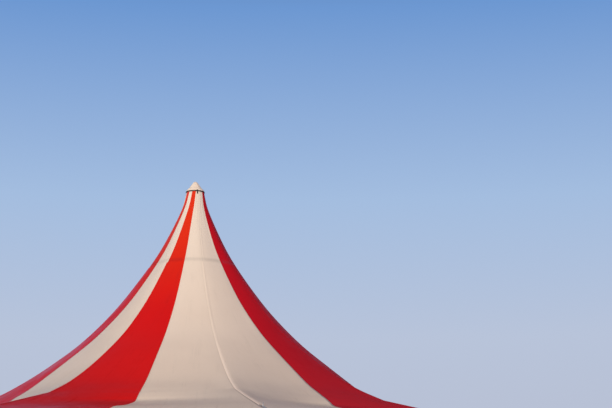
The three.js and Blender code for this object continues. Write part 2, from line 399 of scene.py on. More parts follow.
def cut(bm: Mesh, place: Sequence[float], away: Sequence[float]) -> Mesh:
    """Cuts off what lies past a plane and closes the cut.

    Args:
        bm: The mesh.
        place: A point of the plane.
        away: Direction of the part that goes.

    Returns:
        The same mesh.
    """
    geom = bm.verts[:] + bm.edges[:] + bm.faces[:]
    bmesh.ops.bisect_plane(bm, geom=geom, plane_co=place, plane_no=away, clear_outer=True)
    return filled(bm)


def cut_at_ground(bm: Mesh) -> Mesh:
    """Cuts off what lies under the ground."""
    return cut(bm, (0, 0, GROUND_GAP), (0, 0, -1))


def area_of(bm: Mesh) -> float:
    """Area of all the faces."""
    return sum(face.calc_area() for face in bm.faces)


def turn_faces(bm: Mesh, outward: Vector) -> None:
    """Turns an open sheet's faces to one side.

    Args:
        bm: The sheet.
        outward: Direction that its faces look in, on the whole.
    """
    bm.normal_update()
    if sum(face.normal.dot(outward) for face in bm.faces) < 0:
        bmesh.ops.reverse_faces(bm, faces=bm.faces)
        bm.normal_update()


def made(name: str, bm: Mesh) -> bpy.types.Object:
    """Turns a mesh into an object that is shaded smooth between its sharp edges.

    Args:
        name: Name of the object.
        bm: Its mesh, which is freed.

    Returns:
        The object, at the origin.
    """
    bm.normal_update()
    for face in bm.faces:
        face.smooth = True
    for edge in bm.edges:
        if len(edge.link_faces) == 2:
            edge.smooth = edge.calc_face_angle(0.0) < SHARP_EDGE
    mesh = bpy.data.meshes.new(name)
    bm.to_mesh(mesh)
    bm.free()
    piece = bpy.data.objects.new(name, mesh)
    bpy.context.scene.collection.objects.link(piece)
    return piece


def thickened(piece: bpy.types.Object, thickness: float, offset: float = -1.0) -> None:
    """Gives a piece of cloth its thickness.

    Args:
        piece: The cloth.
        thickness: Its thickness.
        offset: -1 to grow inwards from its faces, 1 to grow outwards.
    """
    solid = piece.modifiers.new("thickness", "SOLIDIFY")
    solid.thickness = thickness
    solid.offset = offset


# Finishes


@dataclass(frozen=True)
class Patches:
    """Cloudy patches: a noise's scale, detail and roughness, and its values where they begin and are full."""

    scale: float
    detail: float
    rough: float
    low: float
    high: float


class Graph:
    """The nodes of one material, with short calls to add and link them."""

    def __init__(self, name: str) -> None:
        """Starts a material with a Principled shader.

        Args:
            name: Name of the material.
        """
        self.material = bpy.data.materials.new(name)
        self.material.use_nodes = True
        self.tree = self.material.node_tree
        self.shader = self.tree.nodes["Principled BSDF"]

    def feed(self, socket: Socket, value: object) -> None:
        """Links another socket into a socket, or sets it to a value.

        Args:
            socket: The socket that is fed.
            value: The other socket or the value.
        """
        if isinstance(value, Socket):
            self.tree.links.new(value, socket)
        else:
            socket.default_value = value

    def add(self, kind: str, inputs: dict[str | int, object], **settings: object) -> bpy.types.Node:
        """Adds a node.

        Args:
            kind: Type of the node, without its ShaderNode prefix.
            inputs: What goes into its sockets, by name or number.
            settings: Its properties.

        Returns:
            The node.
        """
        node = self.tree.nodes.new("ShaderNode" + kind)
        for setting, value in settings.items():
            setattr(node, setting, value)
        for socket, value in inputs.items():
            self.feed(node.inputs[socket], value)
        return node

    def maths(self, operation: str, *values: object) -> Socket:
        """Result of a Math node."""
        return self.add("Math", dict(enumerate(values)), operation=operation).outputs[0]

    def times(self, first: object, second: object) -> Socket:
        """Product of two values."""
        return self.maths("MULTIPLY", first, second)

    def plus(self, first: object, second: object) -> Socket:
        """Sum of two values."""
        return self.maths("ADD", first, second)

    def fade(self, value: object, low: float, high: float, start: float = 0.0, end: float = 1.0) -> Socket:
        """Smooth passage from start to end while the value goes from low to high."""
        inputs = {0: value, 1: low, 2: high, 3: start, 4: end}
        return self.add("MapRange", inputs, interpolation_type="SMOOTHSTEP").outputs[0]

    def line(self, value: object, at: float, half: float) -> Socket:
        """Narrow line where a value passes a number."""
        return self.fade(self.maths("ABSOLUTE", self.maths("SUBTRACT", value, at)), 0.0, half, 1.0, 0.0)

    def mix(self, share: object, first: object, second: object) -> Socket:
        """Mix of two colours."""
        inputs = {0: share, 6: paint(first), 7: paint(second)}
        return self.add("Mix", inputs, data_type="RGBA").outputs[2]

    def place(self, source: object, scale: Size = (1, 1, 1), shift: Size = (0, 0, 0)) -> Socket:
        """Coordinates that are scaled and moved."""
        return self.add("Mapping", {"Vector": source, "Scale": scale, "Location": shift}).outputs[0]

    def cloud(self, source: object, scale: float, detail: float, rough: float = 0.55) -> Socket:
        """Value of a noise."""
        inputs = {"Vector": source, "Scale": scale, "Detail": detail, "Roughness": rough}
        return self.add("TexNoise", inputs).outputs["Fac"]

    def patches(self, source: object, look: Patches) -> Socket:
        """Cloudy patches, 0 outside them and 1 in them."""
        return self.fade(self.cloud(source, look.scale, look.detail, look.rough), look.low, look.high)

    def object_place(self) -> Socket:
        """Object coordinates."""
        return self.add("TexCoord", {}).outputs["Object"]

    def map_place(self, name: str) -> Socket:
        """Coordinates of one of the piece's own UV maps."""
        return self.add("UVMap", {}, uv_map=name).outputs[0]

    def axes(self, source: object) -> list[Socket]:
        """The three coordinates of a vector."""
        return list(self.add("SeparateXYZ", {0: source}).outputs)

    def bump(self, height: object, distance: float, strength: float = 1.0, under: object = None) -> Socket:
        """Normal of a bumpy surface.

        Args:
            height: Height of the bumps, from 0 to 1.
            distance: Height of a full bump in metres.
            strength: How strong the bumps are.
            under: Normal of the surface that they stand on.

        Returns:
            The normal.
        """
        inputs = {"Height": height, "Distance": distance, "Strength": strength}
        if under is not None:
            inputs["Normal"] = under
        return self.add("Bump", inputs).outputs[0]

    def finish(self, colour: object, roughness: object, normal: object, **fixed: float) -> bpy.types.Material:
        """Feeds the shader.

        Args:
            colour: Base colour.
            roughness: Roughness.
            normal: Surface normal.
            fixed: Values of other sockets of the shader, by name with _ for each space.

        Returns:
            The material.
        """
        inputs = {"Base Color": paint(colour), "Roughness": roughness, "Normal": normal}
        inputs.update({socket.replace("_", " "): value for socket, value in fixed.items()})
        for socket, value in inputs.items():
            self.feed(self.shader.inputs[socket], value)
        return self.material


def paint(colour: object) -> object:
    """Gives a plain colour its alpha and leaves a socket as it is."""
    return (*colour, 1.0) if isinstance(colour, tuple) else colour


class Finish(ABC):
    """A surface finish that makes its material once."""

    @abstractmethod
    def build(self) -> bpy.types.Material:
        """Makes the material."""

    @cache
    def material(self) -> bpy.types.Material:
        """The material, made at the first call."""
        return self.build()


@dataclass(frozen=True)
class Membrane(Finish):
    """Coated roof or wall cloth, with the weave under its coating, its welds, its dirt, a darkening towards
    the bottom and a colour that it blends into towards the crown, which on the red cloth is a painted
    highlight.

    The cloth map holds metres across and along the cloth, and the seam map the distances to both side edges.
    """

    name: str
    colour: Colour
    shade: Colour
    soil: Colour
    soiling: float = 0.3
    weld: float = 0.045
    weld_edge: float = 0.002
    rim: float = 0.16
    rim_width: float = 0.005
    hem: float = 0.0
    hem_dust: float = 0.1
    seed: float = 0.0
    low_darkening: float = 0.16
    low_darkening_span: Point = (3.5, 5.0)
    # Colour that the cloth blends into across high_span. On the red cloth it is a painted highlight.
    high: Colour | None = None
    high_span: Point = (5.5, 9.0)
    meets_ground: bool = False
    splash: Colour = (0.16, 0.12, 0.085)
    splash_height: float = 0.55
    roughness: float = 0.34
    gloss: float = 0.11
    yarn_pitch: float = 0.0013
    shading: Patches = Patches(0.45, 4, 0.55, 0.3, 0.72)
    runs: Patches = Patches(1.0, 5, 0.62, 0.5, 0.8)
    stains: Patches = Patches(1.1, 7, 0.75, 0.62, 0.85)

    def build(self) -> bpy.types.Material:
        """Makes the material.

        Returns:
            The material.
        """
        graph = Graph(self.name)
        cloth = graph.map_place(CLOTH_UV)
        space = graph.object_place()
        height = graph.axes(space)[2]
        grime = graph.cloud(graph.place(space, shift=(4, self.seed, 1)), scale=2.2, detail=6, rough=0.68)

        shading = graph.patches(graph.place(space, shift=(self.seed, 0, 0)), self.shading)
        colour = graph.mix(shading, self.colour, self.shade)
        # Blend towards the crown. On the red cloth this is a painted highlight, lighter and warmer at the
        # top. On the white tapes it is the plain cloth colour that their painted highlight fades into. On the
        # white cloth it only shifts the tint a little.
        if self.high:
            colour = graph.mix(graph.fade(height, *self.high_span), colour, self.high)
        runs = graph.patches(graph.place(cloth, scale=(9, 0.45, 1), shift=(self.seed, 3, 0)), self.runs)
        stains = graph.patches(graph.place(space, shift=(self.seed, 9, 2)), self.stains)
        marks = graph.maths("MAXIMUM", graph.times(runs, graph.fade(grime, 0.38, 0.7)), stains)
        # Darker towards the bottom: below the span's upper height the cloth is mixed more and more towards
        # the soil colour, fully at its lower height and below.
        low_darkening = graph.fade(height, *self.low_darkening_span, self.low_darkening, 0.0)
        soil = graph.plus(graph.times(marks, self.soiling), low_darkening)
        colour = graph.mix(soil, colour, self.soil)

        to_left, to_right, _ = graph.axes(graph.map_place(SEAM_UV))
        edge = graph.maths("MINIMUM", to_left, to_right)
        lap = graph.fade(edge, self.weld - self.weld_edge, self.weld + self.weld_edge, 1.0, 0.0)
        rim = graph.line(edge, self.weld, self.rim_width)
        colour = graph.mix(graph.times(rim, self.rim), colour, self.soil)
        if self.hem:
            along = graph.axes(cloth)[1]
            dusty = graph.fade(grime, 0.3, 0.7, 0.22, 0.4)
            dust = graph.times(graph.line(along, self.hem, self.hem_dust), dusty)
            colour = graph.mix(dust, colour, self.soil)
            past_hem = graph.fade(graph.maths("SUBTRACT", along, self.hem), -0.03, -0.026)
            lap = graph.maths("MAXIMUM", lap, past_hem)
        if self.meets_ground:
            low = graph.fade(height, 0.0, self.splash_height, 1.0, 0.0)
            splashed = graph.times(low, graph.fade(grime, 0.3, 0.62))
            colour = graph.mix(graph.times(splashed, 0.6), colour, self.splash)

        grimy = graph.fade(grime, 0.3, 0.75, self.roughness - 0.05, self.roughness + 0.08)
        stretched = graph.place(space, scale=(1, 1, 0.5), shift=(self.seed, 5, 7))
        normal = graph.bump(graph.cloud(stretched, scale=1.6, detail=2), 0.006)
        normal = graph.bump(graph.plus(lap, graph.times(rim, -0.5)), 0.0012, under=normal)
        normal = graph.bump(self.weave(graph, cloth), 0.00012, 0.7, normal)
        return graph.finish(colour, graph.plus(grimy, soil), normal, Specular_IOR_Level=self.gloss)

    def weave(self, graph: Graph, cloth: object) -> Socket:
        """Height of the yarns that show through the coating.

        Args:
            graph: The material's nodes.
            cloth: Place on the cloth map.

        Returns:
            The height.
        """
        inputs = {"Vector": cloth, "Scale": 1 / self.yarn_pitch / math.tau}
        yarns = [graph.add("TexWave", inputs, bands_direction=way).outputs["Fac"] for way in ("X", "Y")]
        return graph.maths("MAXIMUM", *yarns)


@dataclass(frozen=True)
class Zinc(Finish):
    """Hot dip galvanised steel with spangle, dull patches and rust at the ground."""

    name: str = "dull_zinc"
    dark: Colour = (0.34, 0.345, 0.35)
    light: Colour = (0.48, 0.485, 0.49)
    dull: Colour = (0.3, 0.3, 0.3)
    rust: Colour = (0.16, 0.07, 0.03)
    rust_span: Point = (0.02, 0.35)
    dulling: Patches = Patches(9, 5, 0.7, 0.35, 0.7)
    rusting: Patches = Patches(26, 6, 0.75, 0.5, 0.68)

    def build(self) -> bpy.types.Material:
        """Makes the material.

        Returns:
            The material.
        """
        graph = Graph(self.name)
        space = graph.object_place()
        spangle = graph.add("TexVoronoi", {"Vector": space, "Scale": 70.0}).outputs["Color"]
        flake = graph.axes(spangle)[0]
        dulled = graph.patches(space, self.dulling)
        colour = graph.mix(flake, self.dark, self.light)
        colour = graph.mix(graph.times(dulled, 0.45), colour, self.dull)
        low = graph.fade(graph.axes(space)[2], *self.rust_span, 1.0, 0.0)
        rusty = graph.times(low, graph.patches(space, self.rusting))
        colour = graph.mix(graph.times(rusty, 0.7), colour, self.rust)
        roughness = graph.plus(graph.fade(flake, 0.0, 1.0, 0.36, 0.5), graph.times(dulled, 0.14))
        normal = graph.bump(graph.cloud(space, scale=240, detail=3), 0.0003, 0.6)
        return graph.finish(colour, roughness, normal, Metallic=0.85)


@dataclass(frozen=True)
class BlackPaint(Finish):
    """Black painted steel, chipped and rusty in places."""

    name: str = "black_paint"
    black: Colour = (0.012, 0.012, 0.014)
    dusty: Colour = (0.035, 0.034, 0.034)
    rust: Colour = (0.13, 0.055, 0.025)
    dusting: Patches = Patches(7, 5, 0.7, 0.35, 0.75)
    chipping: Patches = Patches(42, 6, 0.8, 0.63, 0.68)

    def build(self) -> bpy.types.Material:
        """Makes the material.

        Returns:
            The material.
        """
        graph = Graph(self.name)
        space = graph.object_place()
        dust = graph.patches(space, self.dusting)
        chips = graph.patches(space, self.chipping)
        colour = graph.mix(graph.times(chips, 0.8), graph.mix(dust, self.black, self.dusty), self.rust)
        roughness = graph.plus(graph.fade(dust, 0.0, 1.0, 0.38, 0.55), graph.times(chips, 0.3))
        peel = graph.bump(graph.cloud(space, scale=300, detail=2), 0.0002, 0.5)
        normal = graph.bump(graph.times(chips, -1.0), 0.0003, under=peel)
        return graph.finish(colour, roughness, normal, Specular_IOR_Level=0.3)


@dataclass(frozen=True)
class LaidRope(Finish):
    """Laid polyester rope with its yarns and some dirt."""

    name: str = "laid_rope"
    colour: Colour = (0.63, 0.58, 0.49)
    furrow: float = 0.72
    dirt: Colour = (0.2, 0.17, 0.13)
    soiling: Patches = Patches(6, 5, 0.7, 0.4, 0.75)

    def build(self) -> bpy.types.Material:
        """Makes the material.

        Returns:
            The material.
        """
        graph = Graph(self.name)
        yarns = graph.cloud(graph.place(graph.map_place(CLOTH_UV), scale=(900, 60, 1)), scale=1.0, detail=3)
        soil = graph.patches(graph.object_place(), self.soiling)
        between = tuple(self.furrow * part for part in self.colour)
        colour = graph.mix(graph.fade(yarns, 0.3, 0.7), self.colour, between)
        colour = graph.mix(graph.times(soil, 0.4), colour, self.dirt)
        roughness = graph.fade(soil, 0.0, 1.0, 0.75, 0.92)
        normal = graph.bump(yarns, 0.0006, 0.8)
        return graph.finish(colour, roughness, normal, Sheen_Weight=0.25, Sheen_Roughness=0.5)


@dataclass(frozen=True)
class Webbing(Finish):
    """Ribbed strap webbing with a stripe along each edge."""

    name: str
    colour: Colour
    stripe: Colour
    width: float
    dirt: Colour = (0.17, 0.14, 0.11)
    soiling: Patches = Patches(8, 5, 0.7, 0.4, 0.75)
    rib_pitch: float = 0.0035
    cord_pitch: float = 0.0028
    rib_slant: float = 0.8

    def build(self) -> bpy.types.Material:
        """Makes the material.

        Returns:
            The material.
        """
        graph = Graph(self.name)
        across, along, _ = graph.axes(graph.map_place(CLOTH_UV))
        off_middle = graph.maths("ABSOLUTE", across)
        border = graph.times(
            graph.fade(off_middle, self.width * 0.3, self.width * 0.32),
            graph.fade(off_middle, self.width * 0.4, self.width * 0.42, 1.0, 0.0),
        )
        soil = graph.patches(graph.object_place(), self.soiling)
        colour = graph.mix(border, self.colour, self.stripe)
        colour = graph.mix(graph.times(soil, 0.45), colour, self.dirt)
        slanted = graph.plus(graph.times(off_middle, self.rib_slant), along)
        ribs = graph.maths("SINE", graph.times(slanted, math.tau / self.rib_pitch))
        cords = graph.maths("SINE", graph.times(across, math.tau / self.cord_pitch))
        normal = graph.bump(graph.maths("MAXIMUM", ribs, cords), 0.0004, 0.8)
        roughness = graph.fade(soil, 0.0, 1.0, 0.65, 0.85)
        return graph.finish(colour, roughness, normal, Sheen_Weight=0.2, Sheen_Roughness=0.5)


@dataclass(frozen=True)
class PaleFloor(Finish):
    """Plain pale studio floor."""

    name: str = "pale_floor"
    dark: Colour = (0.83, 0.83, 0.81)
    light: Colour = (0.87, 0.87, 0.85)

    def build(self) -> bpy.types.Material:
        """Makes the material.

        Returns:
            The material.
        """
        graph = Graph(self.name)
        mottle = graph.cloud(graph.object_place(), scale=0.6, detail=4)
        return graph.finish(graph.mix(mottle, self.dark, self.light), 0.9, graph.bump(mottle, 0.002))


RED_CLOTH: Colour = (0.61, 0.007, 0.006)
RED_SHADE: Colour = (0.57, 0.006, 0.006)
# Painted highlight: the red cloth turns lighter and warmer towards the crown, as in low warm sun.
RED_PAINTED_HIGHLIGHT: Colour = (0.63, 0.03, 0.007)
RED_SOIL: Colour = (0.22, 0.012, 0.014)
WHITE_CLOTH: Colour = (0.71, 0.61, 0.51)
WHITE_SHADE: Colour = (0.67, 0.57, 0.475)
WHITE_SOIL: Colour = (0.4, 0.36, 0.31)
WHITE_HIGH: Colour = (0.7, 0.615, 0.52)
WHITE_CAP: Colour = (0.77, 0.66, 0.545)
# Painted highlight of the white ridge tapes, a lighter cream than the cloth.
WHITE_PAINTED_HIGHLIGHT: Colour = (0.86, 0.73, 0.605)
STRAP_BUFF: Colour = (0.5, 0.47, 0.4)
STRAP_STRIPE: Colour = (0.3, 0.02, 0.02)
LOOP_BLACK: Colour = (0.05, 0.05, 0.05)
LOOP_STRIPE: Colour = (0.06, 0.06, 0.06)

# Painted shade: the two red gores on the right side, and the strips on them, are a darker red as if out of
# the sun. The bluish tint in their colour and soil is a painted reflection of the sky. They get no painted
# highlight towards the crown, more darkening towards the bottom, less gloss and a rougher surface.
PAINTED_SHADE_RED = {
    "colour": (0.52, 0.006, 0.015),
    "shade": (0.49, 0.006, 0.014),
    "soil": (0.24, 0.05, 0.075),
    "low_darkening": 0.22,
    "high": None,
    "gloss": 0.05,
    "roughness": 0.5,
}
# The white ridge tapes carry a painted highlight. It is a lighter cream low down that fades into the plain
# cloth colour between 3.8 and 6 m.
WHITE_TAPE_PAINTED_HIGHLIGHT = {"colour": WHITE_PAINTED_HIGHLIGHT, "shade": WHITE_PAINTED_HIGHLIGHT, "high": WHITE_CLOTH, "high_span": (3.8, 6.0)}


def membrane(is_red: bool, name: str, **details: object) -> Membrane:
    """Red or white cloth with its own details.

    Args:
        is_red: Whether it is red.
        name: Name of the material.
        details: Other values of the finish.

    Returns:
        The finish.
    """
    if is_red:
        return Membrane(name, RED_CLOTH, RED_SHADE, RED_SOIL, high=RED_PAINTED_HIGHLIGHT, **details)
    return Membrane(name, WHITE_CLOTH, WHITE_SHADE, WHITE_SOIL, high=WHITE_HIGH, **details)


def cloth_slot(is_red: bool) -> Slot:
    """Slot of red or white cloth."""
    return Slot.RED if is_red else Slot.WHITE


def deliver(piece: bpy.types.Object, finish: Finish, slot: Slot, *nodes: str) -> bpy.types.Object:
    """Dresses a piece, lets it ride on the tent and reports it.

    Args:
        piece: The finished piece.
        finish: Its finish.
        slot: Its material slot; not used.
        nodes: CAD nodes that it stands for.

    Returns:
        The piece.
    """
    piece.data.materials.append(finish.material())
    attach(piece, BODY)
    if nodes:
        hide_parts(*nodes)
    log.info("%s: %d faces, %s", piece.name, len(piece.data.polygons), ", ".join(nodes) or "added")
    return piece


# Roof


@dataclass(frozen=True)
class Row:
    """One row of the roof: radius and height on a ridge, and distance from the crown along the cloth."""

    radius: float
    height: float
    along: float


@dataclass(frozen=True)
class RoofForm:
    """Shape of the roof, with the same sizes as the frame's gores."""

    curve: Profile = (
        (0.213, 9.0607), (0.28, 8.76), (0.36, 8.535), (0.585, 8.05), (0.89, 7.49), (1.335, 6.82),
        (1.89, 6.075), (2.565, 5.355), (3.245, 4.805), (3.815, 4.41), (4.4, 4.065), (5.0, 3.795),
    )
    eave: Point = (7.5, 3.165)
    valance: float = 0.42
    sections: Profile = (
        (0.213, 0.0), (0.9, 0.6), (2.5, 0.18), (3.2, 0.25), (4.7, 1.0), (5.0, 1.2), (5.5, 1.8), (6.0, 2.3),
        (6.5, 1.9), (7.0, 1.0), (7.5, 1.0),
    )
    twist: float = 16.0
    softness: Profile = ((0.213, 14.0), (1.0, 11.0), (2.2, 8.0), (3.4, 4.5), (4.9, 1.0), (7.5, 0.4))
    knee_ease: float = 0.6
    knee_ease_angle: float = 8.0
    least_ease: float = 0.001
    knee_bend: float = 0.2
    curve_steps: int = 8
    skirt_rows: int = 20
    valance_rows: int = 10
    fold: float = 0.035
    fold_shares: tuple[float, ...] = (0.25, 0.5, 0.75)

    def rows(self) -> list[Row]:
        """Goes down the roof on a ridge.

        Returns:
            Rows from the crown to the valance's hem.
        """
        points = [Vector(point) for point in self.curve]
        points = [2 * points[0] - points[1], *points, 2 * points[-1] - points[-2]]
        line = [points[1]]
        for before, start, end, after in zip(points, points[1:], points[2:], points[3:]):
            line += [through(before, start, end, after, share) for share in shares(self.curve_steps)]
        knee = points[-2]
        eave = Vector(self.eave)
        edge = eave - (eave - knee).normalized() * self.fold
        below = eave - Vector((0, self.fold))
        hem = eave - Vector((0, self.valance))
        line += [knee.lerp(edge, share) for share in shares(self.skirt_rows)]
        line += [edge.lerp(eave, share).lerp(eave.lerp(below, share), share) for share in self.fold_shares]
        line += [below.lerp(hem, share) for share in (0.0, *shares(self.valance_rows))]
        rows = []
        length = 0.0
        for before, point in zip([line[0], *line], line):
            length += (point - before).length
            rows.append(Row(point.x, point.y, length))
        return rows

    def reach(self, azimuth: float, radius: float) -> float:
        """Distance of the roof from the axis, with softened ridges.

        Args:
            azimuth: Azimuth before the crown's twist, in degrees.
            radius: The radius of the row on a ridge.

        Returns:
            The distance.
        """
        half = FACE_ANGLE / 2
        off_middle = abs((azimuth + half) % FACE_ANGLE - half)
        soft = reading(self.softness, radius)
        over = max(off_middle - (half - soft), 0.0)
        rounded = off_middle - over * over / (2 * soft)
        flat = math.cos(HALF_FACE) / math.cos(math.radians(rounded))
        return radius * lerp(1.0, flat, reading(self.sections, radius))

    def point(self, azimuth: float, radius: float, height: float) -> Vector:
        """Point of the roof.

        Args:
            azimuth: Its azimuth before the crown's twist, in degrees.
            radius: The radius of its row on a ridge.
            height: The height of its row.

        Returns:
            The point.
        """
        twist = self.twist * (self.curve[0][0] / radius) ** 2
        off_ridge = abs(azimuth % FACE_ANGLE - FACE_ANGLE / 2)
        ease = self.knee_ease * smooth(off_ridge / self.knee_ease_angle) + self.least_ease
        near = max(ease - abs(radius - self.curve[-1][0]), 0.0)
        bend = self.knee_bend * (1 - 2 * off_ridge / FACE_ANGLE)
        return polar(azimuth + twist, self.reach(azimuth, radius), height + bend * near * near / (4 * ease))

    def slope_height(self, radius: float) -> float:
        """Height of the skirt's top on a ridge."""
        knee = self.curve[-1]
        return self.eave[1] + (self.eave[0] - radius) * (knee[1] - self.eave[1]) / (self.eave[0] - knee[0])

    @property
    def slope(self) -> float:
        """Angle at which the skirt falls on a ridge, in radians."""
        return math.atan(self.slope_height(0) - self.slope_height(1))


@dataclass(frozen=True)
class Gore:
    """One strip of roof cloth between two azimuths, in degrees."""

    number: int
    start: float
    end: float
    is_red: bool

    @property
    def node(self) -> str:
        """Name of the frame's node."""
        return f"roof_gore_{self.number:02d}_{'red' if self.is_red else 'white'}"

    @property
    def pole(self) -> str:
        """Name of the node of the side pole under its ridge."""
        return f"side_pole_{(self.number // 2 - 1) % RIDGES + 1}"


@dataclass(frozen=True)
class Strip:
    """A raised strip down the roof. It may lie off its azimuth's line by a share of its width."""

    name: str
    azimuth: float
    is_red: bool
    in_painted_shade: bool
    widths: Point
    height: float
    off_line: float = 0.0


@dataclass
class Roof:
    """Striped roof of sixteen gores with a hanging valance, seam welds and ridge pockets."""

    form: RoofForm = field(default_factory=RoofForm)
    columns: int = 32
    thickness: float = 0.003
    band_radius: float = 1.06
    turned_face: int = 1
    # Gores whose colour carries painted shade and a painted sky reflection.
    painted_shade_pair: Sequence[int] = (4, 5)
    seam_shifts: dict[int, float] = field(default_factory=lambda: {0: -0.7, 1: 3.7})
    weld_widths: Point = (0.05, 0.05)
    weld_height: float = 0.0008
    weld_off_line: float = 0.4
    pocket_widths: Point = (0.046, 0.074)
    pocket_height: float = 0.005
    pocket_end: float = 7.2
    strip_span: float = 1.0
    strip_columns: int = 8
    strip_gap: float = 0.0016
    strip_thickness: float = 0.0012
    strip_widening: Point = (1.0, 3.0)
    edge_hold: float = 5.0
    slack: float = 0.012
    slack_scale: Size = (0.9, 0.9, 0.5)
    slack_runout: Point = (1.5, 0.8)
    crown_folds: float = 0.002
    crown_fold_count: float = 2.5
    crown_fold_span: Point = (0.15, 1.6)
    hem_hold: float = 8.0
    valance_wave: float = 0.012
    valance_drop: float = 0.9
    wave_scale: Size = (3.1, 3.1, 0.9)
    ripple_share: float = 0.5
    ripple_scale: Size = (7.3, 7.3, 0.0)
    ripple_shift: float = 5.0
    seed_step: float = 1.7
    red_low_darkening: float = 0.06

    def gores(self) -> list[Gore]:
        """Divides the roof at its ridges and seams.

        Returns:
            All the gores, by azimuth.
        """
        found = []
        for face in range(RIDGES):
            middle = FACE_ANGLE * face
            seam = middle + self.seam_shifts.get(face, 0.0)
            edges = (middle - FACE_ANGLE / 2, seam, middle + FACE_ANGLE / 2)
            for side in (0, 1):
                is_red = (side == 0) != (face == self.turned_face)
                found.append(Gore(2 * face + side + 1, edges[side], edges[side + 1], is_red))
        return found

    def hem_along(self) -> float:
        """Finds the crown panel's hem.

        Returns:
            Its distance from the crown, along the cloth.
        """
        rows = self.form.rows()
        row, after = next(pair for pair in zip(rows, rows[1:]) if pair[1].radius >= self.band_radius)
        return lerp(row.along, after.along, (self.band_radius - row.radius) / (after.radius - row.radius))

    def spun(self, rows: Sequence[Row], start: float, end: float, columns: int) -> Mesh:
        """Spins rows of the roof between two azimuths.

        Args:
            rows: The rows.
            start: First azimuth in degrees.
            end: Last azimuth in degrees.
            columns: Number of faces across.

        Returns:
            A mesh that isn't pressed into the roof's section yet. Its vertices hold their distance along.
        """
        bm = bmesh.new()
        along = bm.verts.layers.float.new(ALONG)
        verts, edges = chain(bm, [polar(start, row.radius, row.height) for row in rows])
        for vert, row in zip(verts, rows):
            vert[along] = row.along
        angle = math.radians(end - start)
        bmesh.ops.spin(bm, geom=verts + edges, cent=(0, 0, 0), axis=(0, 0, 1), angle=angle, steps=columns)
        return bm

    def press(
        self,
        bm: Mesh,
        start: float,
        end: float,
        width: Callable[[float], float],
        lift: Callable[[float, float, Vector], float],
    ) -> None:
        """Presses spun rows into the roof's section, lifts them and maps the cloth.

        Args:
            bm: Spun rows between start and end.
            start: First azimuth in degrees.
            end: Last azimuth in degrees.
            width: Width of the strip in degrees at a radius.
            lift: Height over the roof, from the share across, the distance along and the place.
        """
        along = bm.verts.layers.float[ALONG]
        across = {}
        widths = {}
        for vert in bm.verts:
            radius = math.hypot(vert.co.x, vert.co.y)
            span = width(radius)
            across[vert] = (azimuth_of(vert.co, start) - start) / (end - start)
            widths[vert] = math.radians(span) * radius
            azimuth = (start + end) / 2 + (across[vert] - 0.5) * span
            vert.co = self.form.point(azimuth, radius, vert.co.z)
        turn_faces(bm, Vector((0, 0, 1)))
        lifted = {vert: vert.co + vert.normal * lift(across[vert], vert[along], vert.co) for vert in bm.verts}
        for vert, place in lifted.items():
            vert.co = place

        def from_left(corner: Corner, share: float) -> float:
            """Distance of a corner from the cloth's line at a share across."""
            return (across[corner.vert] - share) * widths[corner.vert]

        map_cloth(
            bm,
            lambda corner: (from_left(corner, 0.5), corner.vert[along]),
            lambda corner: (from_left(corner, 0.0), -from_left(corner, 1.0)),
        )

    def gore_lift(self, gore: Gore, hem: float, share: float, along: float, place: Vector) -> float:
        """Folds of one gore.

        Args:
            gore: The gore.
            hem: Distance of the valance's hem from the crown, along the cloth.
            share: Share across the gore.
            along: Distance from the crown, along the cloth.
            place: Place on the roof's plain form.

        Returns:
            Height of the cloth over the plain form.
        """
        eave = hem - self.form.valance
        from_edge = min(share, 1 - share)
        pinned = smooth(from_edge * self.edge_hold)
        top_run, eave_run = self.slack_runout
        slack = ruffle(place, self.slack_scale, gore.number) * self.slack * pinned
        slack *= smooth(along / top_run) * smooth((eave - along) / eave_run)
        begin, end = self.crown_fold_span
        pleats = math.cos(share * math.tau * self.crown_fold_count + gore.number) * self.crown_folds * pinned
        pleats *= smooth(along / begin) * (1 - smooth(along / end))
        wave = ruffle(place, self.wave_scale)
        wave += self.ripple_share * ruffle(place, self.ripple_scale, self.ripple_shift)
        drop = smooth((along - eave) / self.form.valance * self.valance_drop)
        return slack + pleats + wave * self.valance_wave * drop * smooth(from_edge * self.hem_hold)

    def build_gore(self, gore: Gore, rows: Sequence[Row]) -> None:
        """Makes one gore with its valance.

        Args:
            gore: The gore.
            rows: The roof's rows.
        """
        angle = gore.end - gore.start
        length = rows[-1].along
        bm = self.spun(rows, gore.start, gore.end, self.columns)
        self.press(bm, gore.start, gore.end, lambda radius: angle, partial(self.gore_lift, gore, length))
        area = area_of(bm)
        piece = made(f"{gore.node}_cloth", bm)
        thickened(piece, self.thickness)
        details = {"hem": self.hem_along(), "seed": gore.number * self.seed_step}
        if gore.is_red:
            details["low_darkening"] = self.red_low_darkening
        finish = membrane(gore.is_red, f"{gore.node}_membrane", **details)
        # These two gores get painted shade and a painted sky reflection in their colour.
        if gore.number in self.painted_shade_pair:
            finish = replace(finish, **PAINTED_SHADE_RED)
        deliver(piece, finish, cloth_slot(gore.is_red), gore.node)

    def build_strip(self, strip: Strip, rows: Sequence[Row]) -> bpy.types.Object:
        """Makes a raised strip down the roof.

        Args:
            strip: The strip.
            rows: Rows that it covers.

        Returns:
            The piece.
        """
        start, end = strip.azimuth - self.strip_span / 2, strip.azimuth + self.strip_span / 2
        begin, run = self.strip_widening

        def width(radius: float) -> float:
            """Width of the strip at a radius."""
            return lerp(*strip.widths, smooth((radius - begin) / run))

        def lift(share: float, along: float, place: Vector) -> float:
            """Height of the strip's round back."""
            return self.strip_gap + strip.height * math.sqrt(max(0.0, 1 - (2 * share - 1) ** 2))

